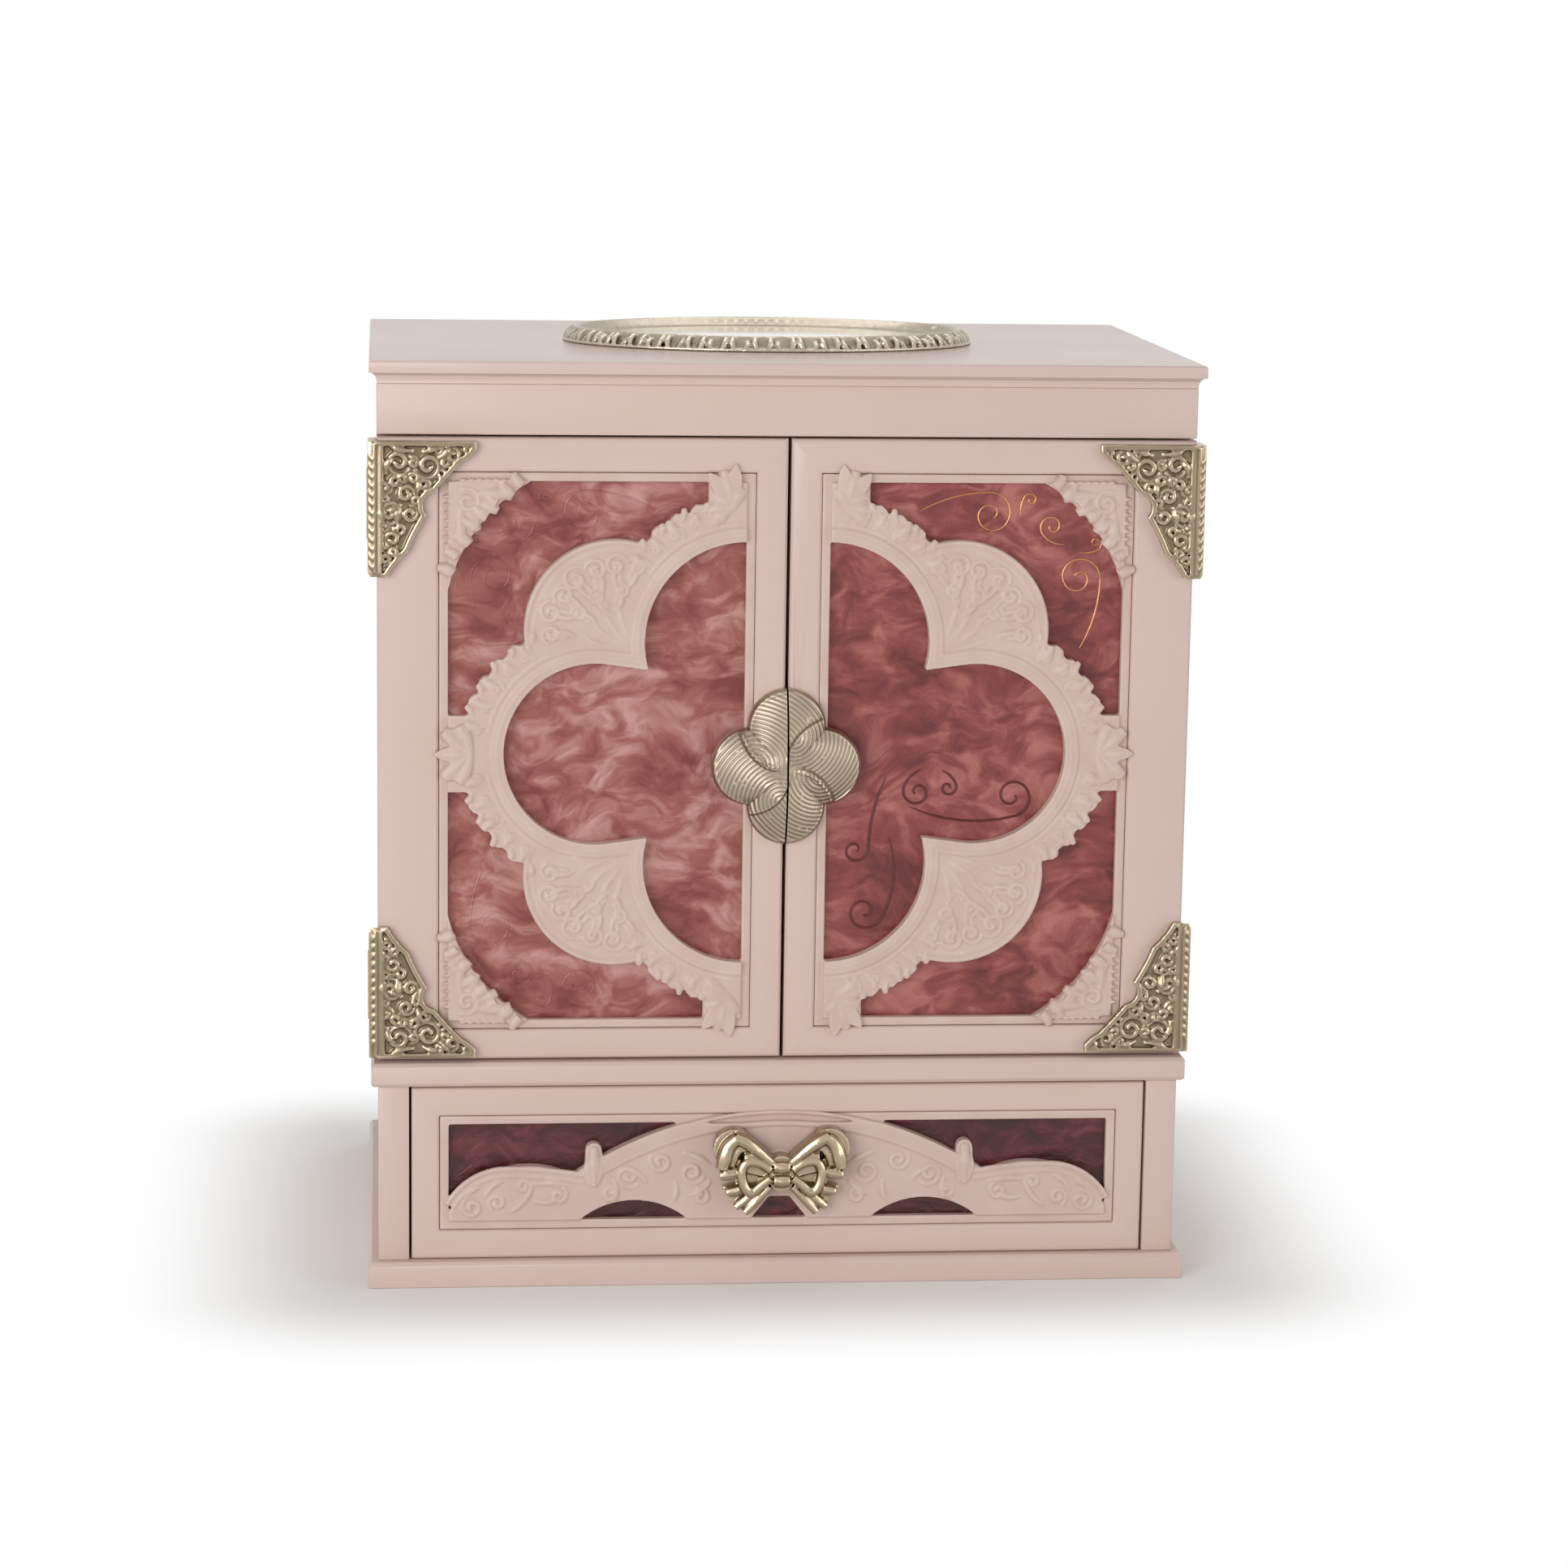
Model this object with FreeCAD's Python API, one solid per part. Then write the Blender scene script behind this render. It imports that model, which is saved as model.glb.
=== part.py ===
import FreeCAD, Part
import math
import os

from FreeCAD import Vector

# Makeup cabinet in millimetres: a drawer below, two doors above, a lift-up lid with an oval mirror on top.
# +Z is up and the doors face -Y. The origin is the centre of the body's footprint, on the standing surface.

# Case
BODY_WIDTH = 275.0
BODY_DEPTH = 187.0
SIDE_THICKNESS = 10.5
BACK_THICKNESS = 4.0
PLINTH_HEIGHT = 9.0
PLINTH_OVERHANG = 3.5
DRAWER_BAY_HEIGHT = 61.4
WAIST_THICKNESS = 8.4
WAIST_OVERHANG = 2.5
BOARD_EDGE_BEVEL = 1.2
DOOR_BAY_HEIGHT = 213.6
FRIEZE_HEIGHT = 16.9
TRAY_FLOOR_THICKNESS = 6.0
SHELF_HEIGHT = 104.0
SHELF_THICKNESS = 5.0
SHELF_SETBACK = 8.0
SHELF_CLEARANCE = 0.2
CLEAT_SIZE = 6.0

# Lid and its mirrors
LID_OVERHANG = 2.5
LID_THICKNESS = 7.6
LID_COVE_HEIGHT = 3.5
LID_COVE_REACH = 1.9
LID_EDGE_RADIUS = 1.0
MIRROR_WIDTH = 144.8
MIRROR_DEPTH = 102.4
MIRROR_RIM_WIDTH = 8.0
MIRROR_RIM_HEIGHT = 5.5
MIRROR_CREST_INSET = 4.2
MIRROR_LIP_HEIGHT = 2.6
MIRROR_GLASS_THICKNESS = 2.4
LID_GLASS_SIDE_MARGIN = 20.0
LID_GLASS_END_MARGIN = 22.2
LID_GLASS_THICKNESS = 2.5
LID_BEAD_WIDTH = 5.0
LID_BEAD_HEIGHT = 3.2
GLASS_CLEARANCE = 0.15

# Doors
DOOR_THICKNESS = 12.0
DOOR_BACK_GAP = 0.6
DOOR_REVEAL = 0.8
MEETING_GAP = 1.2
HINGE_STILE_WIDTH = 20.5
MEETING_STILE_WIDTH = 10.4
TOP_RAIL_WIDTH = 11.6
BOTTOM_RAIL_WIDTH = 10.4
FRAME_EDGE_BEVEL = 0.8
REBATE_WIDTH = 4.0
LIP_THICKNESS = 4.0
PANEL_THICKNESS = 2.5
PANEL_CLEARANCE = 0.2
BEAD_WIDTH = 3.4
BEAD_THICKNESS = 3.0

# Fretwork of the doors: half of a quatrefoil in a carved ring
FRET_CLEARANCE = 0.15
FRET_BORDER = 3.0
FRET_BORDER_SETBACK = 0.8
CARVING_RISE = 0.4
RIM_RISE = 1.1
LEAF_RISE = 1.5
LOBE_RADIUS = 33.9
LOBE_RISE = 38.0
SIDE_LOBE_MARGIN = 18.6
SHOULDER_LENGTH = 13.65
CUSP_ANGLE = 16.0
RIM_WIDTH = 4.6
RING_WIDTH = 13.8
CARTOUCHE_RADIUS = 30.7
CARTOUCHE_RISE = 42.0
CARTOUCHE_SHIFT = 6.5
CORNER_SWEEP = 57.5
SCALLOP_RADIUS = 3.4
SCALLOP_RISE = 1.7
SCALLOP_PITCH = 7.2
SCALLOP_SIDES = 8
RING_SCALLOP_SPAN = (42.0, 70.0)
SIDE_SCALLOP_SPAN = (14.0, 52.0)
LEAF_LENGTH = 13.0
LEAF_WIDTH = 5.0
PALMETTE_HEADINGS = (-44.0, 0.0, 44.0)
TUFT_HEADINGS = (50.0, 95.0)

# Drawer
DRAWER_GAP = 0.8
DRAWER_GLIDE = 0.3
DRAWER_FRONT_THICKNESS = 12.0
DRAWER_WALL = 6.0
DRAWER_BOX_HEIGHT = 46.0
DRAWER_BOTTOM_THICKNESS = 4.0
DRAWER_BACK_GAP = 0.5
DRAWER_SIDE_BORDER = 9.5
DRAWER_EDGE_BORDER = 10.0
ARCH_RADIUS = 124.0
ARCH_APEX = 51.8
ARCH_RIM_WIDTH = 5.5
WAVE_RADIUS = 30.8
WAVE_INSET = 30.2
WAVE_TOP = 32.6
LENS_RADIUS = 28.5
LENS_OFFSET = 50.2
LENS_RISE = 6.9
FINIAL_OFFSET = 64.0
FINIAL_HEIGHT = 24.5
FINIAL_RADIUS = 2.8
FINIAL_FOOT_RADIUS = 3.8
DRAWER_BOSS_RADIUS = 7.0
HEART_HALF_WIDTH = 9.7
HEART_TOP_HALF_WIDTH = 3.5
HEART_HEIGHT = 7.8

# Hinges: butt hinges of the doors and of the lid share one knuckle
KNUCKLE_RADIUS = 1.6
KNUCKLE_CLEARANCE = 0.3
KNUCKLE_END_GAP = 0.2
PIN_RADIUS = 0.8
PIN_CLEARANCE = 0.05
FLAP_THICKNESS = 0.9
FLAP_GAP = 0.2
FLAP_WIDTH = 8.6
MORTISE_CLEARANCE = 0.1
HINGE_LENGTH = 24.0
HINGE_INSET = 11.5
LID_HINGE_LENGTH = 30.0
LID_HINGE_SPACING = 150.0
LID_FLAP_HEIGHT = 12.0
LID_FLAP_EDGE = 0.8
ROD_SIDES = 8

# Gilt corner brackets, knob, bow pull and their screws
BRACKET_WIDTH = 33.0
BRACKET_HEIGHT = 45.5
BRACKET_THICKNESS = 3.0
BRACKET_RIM = 1.6
BRACKET_SINK = 1.0
BRACKET_SIDE_REACH = 10.0
BRACKET_INSET = 1.2
BRACKET_SLOPE = (
    (1.0, 0.06), (0.95, 0.1), (0.85, 0.15), (0.71, 0.26), (0.58, 0.37), (0.47, 0.43),
    (0.5, 0.54), (0.39, 0.68), (0.31, 0.81), (0.18, 0.91), (0.1, 1.0),
)
KNOB_DROP = 4.6
KNOB_LOBE_RADIUS = 13.2
KNOB_LOBE_OFFSET_X = 12.2
KNOB_LOBE_OFFSET_Z = 13.4
KNOB_SKIRT = 2.0
KNOB_DOME_HEIGHT = 8.0
KNOB_CROWN_RADIUS = 9.0
BOW_RISE = 21.0
BOW_DEPTH = 8.0
BOW_STEP = 1.4
BOW_ROOT_RADIUS = 2.6
BOW_RIBBON = 3.3
BOW_LOOP_REACH = 16.4
BOW_LOOP_RISE = 8.6
BOW_LOOP_RADIUS = 7.0
BOW_LOWER_REACH = 11.5
BOW_LOWER_DROP = 1.6
BOW_LOWER_RADIUS = 4.6
BOW_TAIL = ((0.0, -0.5), (20.2, -5.2), (17.4, -8.8), (14.4, -12.2), (0.0, -4.5))
BOW_KNOT_RADIUS = 4.0
BOW_KNOT_SPREAD = 2.4
SCREW_RADIUS = 1.4
SCREW_CLEARANCE = 0.3
SCREW_BITE = 5.0
SCREW_BITE_CLEARANCE = 0.05
SCREW_HEAD_RADIUS = 2.3
SCREW_HEAD_HEIGHT = 1.4
KNOB_SCREW_INSET = 3.4
KNOB_SCREW_SPACING = 20.0

# Magnet catch at the top of the doors
MAGNET_WIDTH = 5.4
MAGNET_DEPTH = 6.0
MAGNET_HEIGHT = 7.0
MAGNET_INSET = 1.6
STRIKE_WIDTH = 4.4
STRIKE_HEIGHT = 4.6
STRIKE_THICKNESS = 0.8

# Levels and planes that follow from the sizes above
HALF_BODY = BODY_WIDTH / 2
INNER_X = HALF_BODY - SIDE_THICKNESS
FACE_Y = -BODY_DEPTH / 2
BACK_Y = BODY_DEPTH / 2
BACK_PANEL_Y = BACK_Y - BACK_THICKNESS
CASE_FRONT_Y = FACE_Y + DOOR_THICKNESS + DOOR_BACK_GAP
WAIST_Z = PLINTH_HEIGHT + DRAWER_BAY_HEIGHT
WAIST_TOP_Z = WAIST_Z + WAIST_THICKNESS
FRIEZE_Z = WAIST_TOP_Z + DOOR_BAY_HEIGHT
LID_Z = FRIEZE_Z + FRIEZE_HEIGHT
LID_TOP_Z = LID_Z + LID_THICKNESS
TRAY_FLOOR_Z = FRIEZE_Z - TRAY_FLOOR_THICKNESS
SHELF_Z = WAIST_TOP_Z + SHELF_HEIGHT
DOOR_X0 = MEETING_GAP / 2
DOOR_X1 = HALF_BODY
DOOR_Z0 = WAIST_TOP_Z + DOOR_REVEAL
DOOR_Z1 = FRIEZE_Z - DOOR_REVEAL
DOOR_BACK_Y = FACE_Y + DOOR_THICKNESS
OPEN_X0 = DOOR_X0 + MEETING_STILE_WIDTH
OPEN_X1 = DOOR_X1 - HINGE_STILE_WIDTH
OPEN_Z0 = DOOR_Z0 + BOTTOM_RAIL_WIDTH
OPEN_Z1 = DOOR_Z1 - TOP_RAIL_WIDTH
PANEL_Y = FACE_Y + LIP_THICKNESS
PANEL_BACK_Y = PANEL_Y + PANEL_THICKNESS
FRET_Z = (OPEN_Z0 + OPEN_Z1) / 2
KNOB_Z = (DOOR_Z0 + DOOR_Z1) / 2 - KNOB_DROP
HINGE_X = HALF_BODY + KNUCKLE_RADIUS + KNUCKLE_CLEARANCE
HINGE_Y = DOOR_BACK_Y + DOOR_BACK_GAP / 2
LID_HINGE_Y = BACK_Y + KNUCKLE_RADIUS + KNUCKLE_CLEARANCE
DRAWER_X = INNER_X - DRAWER_GAP
DRAWER_Z0 = PLINTH_HEIGHT + DRAWER_GLIDE
DRAWER_Z1 = WAIST_Z - DRAWER_GAP
DRAWER_BACK_Y = BACK_PANEL_Y - DRAWER_BACK_GAP
POCKET_X = DRAWER_X - DRAWER_SIDE_BORDER
POCKET_Z0 = DRAWER_Z0 + DRAWER_EDGE_BORDER
POCKET_Z1 = DRAWER_Z1 - DRAWER_EDGE_BORDER
EDGE_TOLERANCE = 1e-4


def box(x0, x1, y0, y1, z0, z1):
    """Block between two corners."""
    return Part.makeBox(x1 - x0, y1 - y0, z1 - z0, Vector(x0, y0, z0))


def slab(plan, y0, y1):
    """Flat plan in the XZ plane, thickened from y0 to y1."""
    moved = plan.copy()
    moved.translate(Vector(0, y0, 0))
    return moved.extrude(Vector(0, y1 - y0, 0))


def polygon(points):
    """Flat face in the XZ plane through corner points."""
    corners = [Vector(x, 0, z) for x, z in points]
    return Part.Face(Part.makePolygon(corners + corners[:1]))


def on_circle(x, z, radius, degrees):
    """Point of a circle in the XZ plane."""
    angle = math.radians(degrees)
    return Vector(x + radius * math.cos(angle), 0, z + radius * math.sin(angle))


def arc(x, z, radius, start, end):
    """Arc of a circle in the XZ plane, between two angles in degrees."""
    stops = [on_circle(x, z, radius, angle) for angle in (start, (start + end) / 2, end)]
    return Part.Arc(*stops).toShape()


def line(start, end):
    """Straight edge."""
    return Part.makeLine(start, end)


def face_of(edges):
    """Flat face bounded by a closed run of edges."""
    return Part.Face(Part.Wire(edges))


def petal(x0, z0, r0, x1, z1, r1):
    """Flat petal: two circles and the straight flanks that touch both."""
    length = math.hypot(x1 - x0, z1 - z0)
    heading = math.degrees(math.atan2(z1 - z0, x1 - x0))
    spread = math.degrees(math.acos((r0 - r1) / length))
    tip = arc(x1, z1, r1, heading + spread, heading - spread)
    root = arc(x0, z0, r0, heading - spread, heading + spread - 360)
    flanks = [
        line(on_circle(x0, z0, r0, heading + spread), on_circle(x1, z1, r1, heading + spread)),
        line(on_circle(x1, z1, r1, heading - spread), on_circle(x0, z0, r0, heading - spread)),
    ]
    return face_of([flanks[0], tip, flanks[1], root])


def leaf(x, z, heading):
    """Flat pointed leaf: two arcs from its root to its tip."""
    root = Vector(x, 0, z)
    tip = on_circle(x, z, LEAF_LENGTH, heading)
    middle = on_circle(x, z, LEAF_LENGTH / 2, heading)
    flanks = [on_circle(middle.x, middle.z, LEAF_WIDTH / 2, heading + turn) for turn in (90, -90)]
    return face_of([Part.Arc(root, flanks[0], tip).toShape(), Part.Arc(tip, flanks[1], root).toShape()])


def fan(x, z, headings, y0, y1):
    """Leaves that spread from one root point."""
    return [slab(leaf(x, z, heading), y0, y1) for heading in headings]


def disc(x, z, radius, y0, y1):
    """Round block along Y."""
    return Part.makeCylinder(radius, y1 - y0, Vector(x, y0, z), Vector(0, 1, 0))


def rod(radius, foot, reach, sides):
    """Slim round bar from its foot along reach, drawn with flats whose corners lie on the circle."""
    axis = Vector(reach).normalize()
    spoke = Vector(axis.y, axis.z, axis.x) * radius
    corners = []
    for index in range(sides):
        turn = FreeCAD.Rotation(axis, 360 * (index + 0.5) / sides)
        corners.append(foot + turn.multVec(spoke))
    return Part.Face(Part.makePolygon(corners + corners[:1])).extrude(reach)


def bore(radius, foot, reach):
    """Hole for a slim round bar, with flats that lie outside the circle."""
    return rod(radius / math.cos(math.pi / ROD_SIDES), foot, reach, ROD_SIDES)


def scallops(x, z, radius, span, y0, y1):
    """Carved bumps along an arc, one to a pitch, each standing a little over it."""
    start, end = span
    middle = radius + SCALLOP_RISE - SCALLOP_RADIUS
    count = round(math.radians(end - start) * radius / SCALLOP_PITCH)
    bumps = []
    for index in range(count + 1):
        foot = on_circle(x, z, middle, start + (end - start) * index / count) + Vector(0, y0, 0)
        bumps.append(rod(SCALLOP_RADIUS, foot, Vector(0, y1 - y0, 0), SCALLOP_SIDES))
    return bumps


def edges_on(shape, **planes):
    """Edges of a shape that lie in all of the given planes, such as y=0."""
    picked = []
    for edge in shape.Edges:
        bound = edge.BoundBox
        spans = {"x": (bound.XMin, bound.XMax), "y": (bound.YMin, bound.YMax), "z": (bound.ZMin, bound.ZMax)}
        gaps = [abs(end - place) for axis, place in planes.items() for end in spans[axis]]
        if max(gaps) < EDGE_TOLERANCE:
            picked.append(edge)
    return picked


def mirrored(shape):
    """Twin of a shape on the other side of the centre plane."""
    return shape.mirror(Vector(0, 0, 0), Vector(1, 0, 0))


def flipped(shape, z):
    """Twin of a shape above or below a level."""
    return shape.mirror(Vector(0, 0, z), Vector(0, 0, 1))


def save(name, *solids):
    """Write one named piece, which may be a group of like solids."""
    shape = solids[0] if len(solids) == 1 else Part.makeCompound(list(solids))
    shape.exportStep("parts/" + name + ".step")


def save_pair(name, *solids):
    """Write the right-hand piece and its left-hand twin."""
    save(name.format("right"), *solids)
    save(name.format("left"), *[mirrored(solid) for solid in solids])


def overhanging_board(overhang, back_y, z0, z1, eased_levels):
    """Board that stands proud of the case at the front and sides, with eased edges there."""
    side = HALF_BODY + overhang
    front = FACE_Y - overhang
    board = box(-side, side, front, back_y, z0, z1)
    edges = []
    for level in eased_levels:
        edges += edges_on(board, y=front, z=level)
        edges += edges_on(board, x=side, z=level)
        edges += edges_on(board, x=-side, z=level)
    return board.makeChamfer(BOARD_EDGE_BEVEL, edges)


def hinge_mortises(y0, y1):
    """Shallow seats that let both hinge leaves of a door into the wood, one seat to a hinge."""
    inner = HINGE_X - KNUCKLE_RADIUS - KNUCKLE_CLEARANCE - FLAP_WIDTH - MORTISE_CLEARANCE
    return [
        box(inner, HALF_BODY, y0, y1, z - MORTISE_CLEARANCE, z + HINGE_LENGTH + MORTISE_CLEARANCE)
        for z in door_hinge_levels()
    ]


def door_hinge_levels():
    """Lower ends of the two hinges of a door."""
    return DOOR_Z0 + HINGE_INSET, DOOR_Z1 - HINGE_INSET - HINGE_LENGTH


def case_pieces():
    """Boards of the fixed case."""
    save("plinth_board", overhanging_board(PLINTH_OVERHANG, BACK_Y, 0, PLINTH_HEIGHT, [PLINTH_HEIGHT]))
    waist = overhanging_board(WAIST_OVERHANG, BACK_PANEL_Y, WAIST_Z, WAIST_TOP_Z, [WAIST_Z, WAIST_TOP_Z])
    save("waist_board", waist)
    save_pair("lower_{}_side", box(INNER_X, HALF_BODY, FACE_Y, BACK_PANEL_Y, PLINTH_HEIGHT, WAIST_Z))
    side = box(INNER_X, HALF_BODY, CASE_FRONT_Y, BACK_PANEL_Y, WAIST_TOP_Z, LID_Z)
    seats = hinge_mortises(CASE_FRONT_Y, HINGE_Y + FLAP_GAP / 2 + FLAP_THICKNESS)
    save_pair("upper_{}_side", side.cut(seats))
    save("frieze_rail", box(-HALF_BODY, HALF_BODY, FACE_Y, CASE_FRONT_Y, FRIEZE_Z, LID_Z))
    save("tray_floor", box(-INNER_X, INNER_X, CASE_FRONT_Y, BACK_PANEL_Y, TRAY_FLOOR_Z, FRIEZE_Z))
    save("back_panel", box(-HALF_BODY, HALF_BODY, BACK_PANEL_Y, BACK_Y, PLINTH_HEIGHT, LID_Z))
    shelf_x = INNER_X - SHELF_CLEARANCE
    shelf_y = CASE_FRONT_Y + SHELF_SETBACK
    save("shelf", box(-shelf_x, shelf_x, shelf_y, BACK_PANEL_Y, SHELF_Z, SHELF_Z + SHELF_THICKNESS))
    cleat = box(INNER_X - CLEAT_SIZE, INNER_X, shelf_y, BACK_PANEL_Y, SHELF_Z - CLEAT_SIZE, SHELF_Z)
    save("shelf_cleats", cleat, mirrored(cleat))
    magnet_x = DOOR_X0 + MAGNET_INSET
    magnet_y = CASE_FRONT_Y + MAGNET_DEPTH
    magnet_z = TRAY_FLOOR_Z - MAGNET_HEIGHT
    magnet = box(magnet_x, magnet_x + MAGNET_WIDTH, CASE_FRONT_Y, magnet_y, magnet_z, TRAY_FLOOR_Z)
    save("magnet_catches", magnet, mirrored(magnet))


def door_frame():
    """Four mitred bars, rebated behind for the panel and its beads."""
    outer = [(DOOR_X0, DOOR_Z0), (DOOR_X1, DOOR_Z0), (DOOR_X1, DOOR_Z1), (DOOR_X0, DOOR_Z1)]
    inner = [(OPEN_X0, OPEN_Z0), (OPEN_X1, OPEN_Z0), (OPEN_X1, OPEN_Z1), (OPEN_X0, OPEN_Z1)]
    rebate = box(
        OPEN_X0 - REBATE_WIDTH, OPEN_X1 + REBATE_WIDTH, PANEL_Y, DOOR_BACK_Y,
        OPEN_Z0 - REBATE_WIDTH, OPEN_Z1 + REBATE_WIDTH,
    )
    bars = []
    for start in range(4):
        end = (start + 1) % 4
        bar = slab(polygon([outer[start], outer[end], inner[end], inner[start]]), FACE_Y, DOOR_BACK_Y)
        across = "z" if start % 2 == 0 else "x"
        place = 1 if across == "z" else 0
        edges = []
        for corner in (outer[start], inner[start]):
            edges += edges_on(bar, y=FACE_Y, **{across: corner[place]})
        bars.append(bar.makeChamfer(FRAME_EDGE_BEVEL, edges).cut(rebate))
    return bars


def knob_screw_places():
    """Centres of the two screws that hold half of the knob."""
    x = DOOR_X0 + KNOB_SCREW_INSET
    return (x, KNOB_Z - KNOB_SCREW_SPACING / 2), (x, KNOB_Z + KNOB_SCREW_SPACING / 2)


def screw(x, z, head_y, tip_y):
    """Pan-head screw, driven from behind towards the front, with its head on the back face."""
    foot = Vector(x, head_y, z)
    head = rod(SCREW_HEAD_RADIUS, foot, Vector(0, SCREW_HEAD_HEIGHT, 0), ROD_SIDES)
    return head.fuse(rod(SCREW_RADIUS, foot, Vector(0, tip_y - head_y, 0), ROD_SIDES)).removeSplitter()


def screw_hole(x, z, y0, y1):
    """Clearance hole for a screw."""
    return bore(SCREW_RADIUS + SCREW_CLEARANCE, Vector(x, y0, z), Vector(0, y1 - y0, 0))


def screw_thread(x, z, y):
    """Tapped hole that a screw bites into, from the back face of a casting at y."""
    return bore(SCREW_RADIUS + SCREW_BITE_CLEARANCE, Vector(x, y, z), Vector(0, -SCREW_BITE, 0))


def door_pieces():
    """Frame, panel, beads, strike and screws of a door."""
    bottom_rail, hinge_stile, top_rail, meeting_stile = door_frame()
    seats = hinge_mortises(HINGE_Y - FLAP_GAP / 2 - FLAP_THICKNESS, DOOR_BACK_Y)
    save_pair("{}_door_hinge_stile", hinge_stile.cut(seats))
    save_pair("{}_door_top_rail", top_rail)
    save_pair("{}_door_bottom_rail", bottom_rail)
    strike_x = DOOR_X0 + MAGNET_INSET
    strike = box(
        strike_x, strike_x + STRIKE_WIDTH, DOOR_BACK_Y - STRIKE_THICKNESS, DOOR_BACK_Y,
        TRAY_FLOOR_Z - MAGNET_HEIGHT, TRAY_FLOOR_Z - MAGNET_HEIGHT + STRIKE_HEIGHT,
    )
    tip_y = FACE_Y - SCREW_BITE
    holes = [screw_hole(x, z, FACE_Y, DOOR_BACK_Y) for x, z in knob_screw_places()]
    save_pair("{}_door_meeting_stile", meeting_stile.cut(holes + [strike]))
    save_pair("{}_door_strike", strike)
    save_pair("{}_knob_screws", *[screw(x, z, DOOR_BACK_Y, tip_y) for x, z in knob_screw_places()])
    x0 = OPEN_X0 - REBATE_WIDTH + PANEL_CLEARANCE
    x1 = OPEN_X1 + REBATE_WIDTH - PANEL_CLEARANCE
    z0 = OPEN_Z0 - REBATE_WIDTH + PANEL_CLEARANCE
    z1 = OPEN_Z1 + REBATE_WIDTH - PANEL_CLEARANCE
    save_pair("{}_door_panel", box(x0, x1, PANEL_Y, PANEL_BACK_Y, z0, z1))
    save_pair("{}_door_beads", *bead_strips(x0, x1, PANEL_BACK_Y, PANEL_BACK_Y + BEAD_THICKNESS, z0, z1))


def bead_strips(x0, x1, y0, y1, z0, z1):
    """Four mitred strips round the inside of a rebate."""
    outer = [(x0, z0), (x1, z0), (x1, z1), (x0, z1)]
    inner = [
        (x0 + BEAD_WIDTH, z0 + BEAD_WIDTH), (x1 - BEAD_WIDTH, z0 + BEAD_WIDTH),
        (x1 - BEAD_WIDTH, z1 - BEAD_WIDTH), (x0 + BEAD_WIDTH, z1 - BEAD_WIDTH),
    ]
    strips = []
    for start in range(4):
        end = (start + 1) % 4
        strips.append(slab(polygon([outer[start], outer[end], inner[end], inner[start]]), y0, y1))
    return strips


def quatrefoil_cusp(x):
    """Upper cusp of the half quatrefoil whose straight edge stands at x."""
    return on_circle(x, FRET_Z + LOBE_RISE, LOBE_RADIUS, -CUSP_ANGLE)


def side_lobe(window):
    """Centre and radius of the side lobe, which ends at its margin and runs into the straight shoulders."""
    cusp = quatrefoil_cusp(window[0])
    end_x = window[1] - SIDE_LOBE_MARGIN
    run = end_x - cusp.x
    rise = cusp.z - FRET_Z
    radius = (run ** 2 + rise ** 2 - SHOULDER_LENGTH ** 2) / (2 * run)
    return end_x - radius, radius


def quatrefoil(window, grow):
    """Half of a quatrefoil: half lobes above and below, a whole lobe at the side, blunt cusps between."""
    x = window[0]
    side_x, side_radius = side_lobe(window)
    top_z = FRET_Z + LOBE_RISE
    cusp = quatrefoil_cusp(x)
    bearing = math.degrees(math.atan2(cusp.z - FRET_Z, cusp.x - side_x))
    touch = bearing - math.degrees(math.atan2(SHOULDER_LENGTH, side_radius))
    upper = arc(x, top_z, LOBE_RADIUS, 90, -CUSP_ANGLE)
    shoulder = line(cusp, on_circle(side_x, FRET_Z, side_radius, touch))
    side = arc(side_x, FRET_Z, side_radius, touch, -touch)
    lower = [flipped(edge, FRET_Z) for edge in (shoulder, upper)]
    spine = line(Vector(x, 0, 2 * FRET_Z - top_z - LOBE_RADIUS), Vector(x, 0, top_z + LOBE_RADIUS))
    plan = face_of(Part.sortEdges([upper, shoulder, side, lower[0], lower[1], spine])[0])
    return plan.makeOffset2D(grow) if grow else plan


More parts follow.
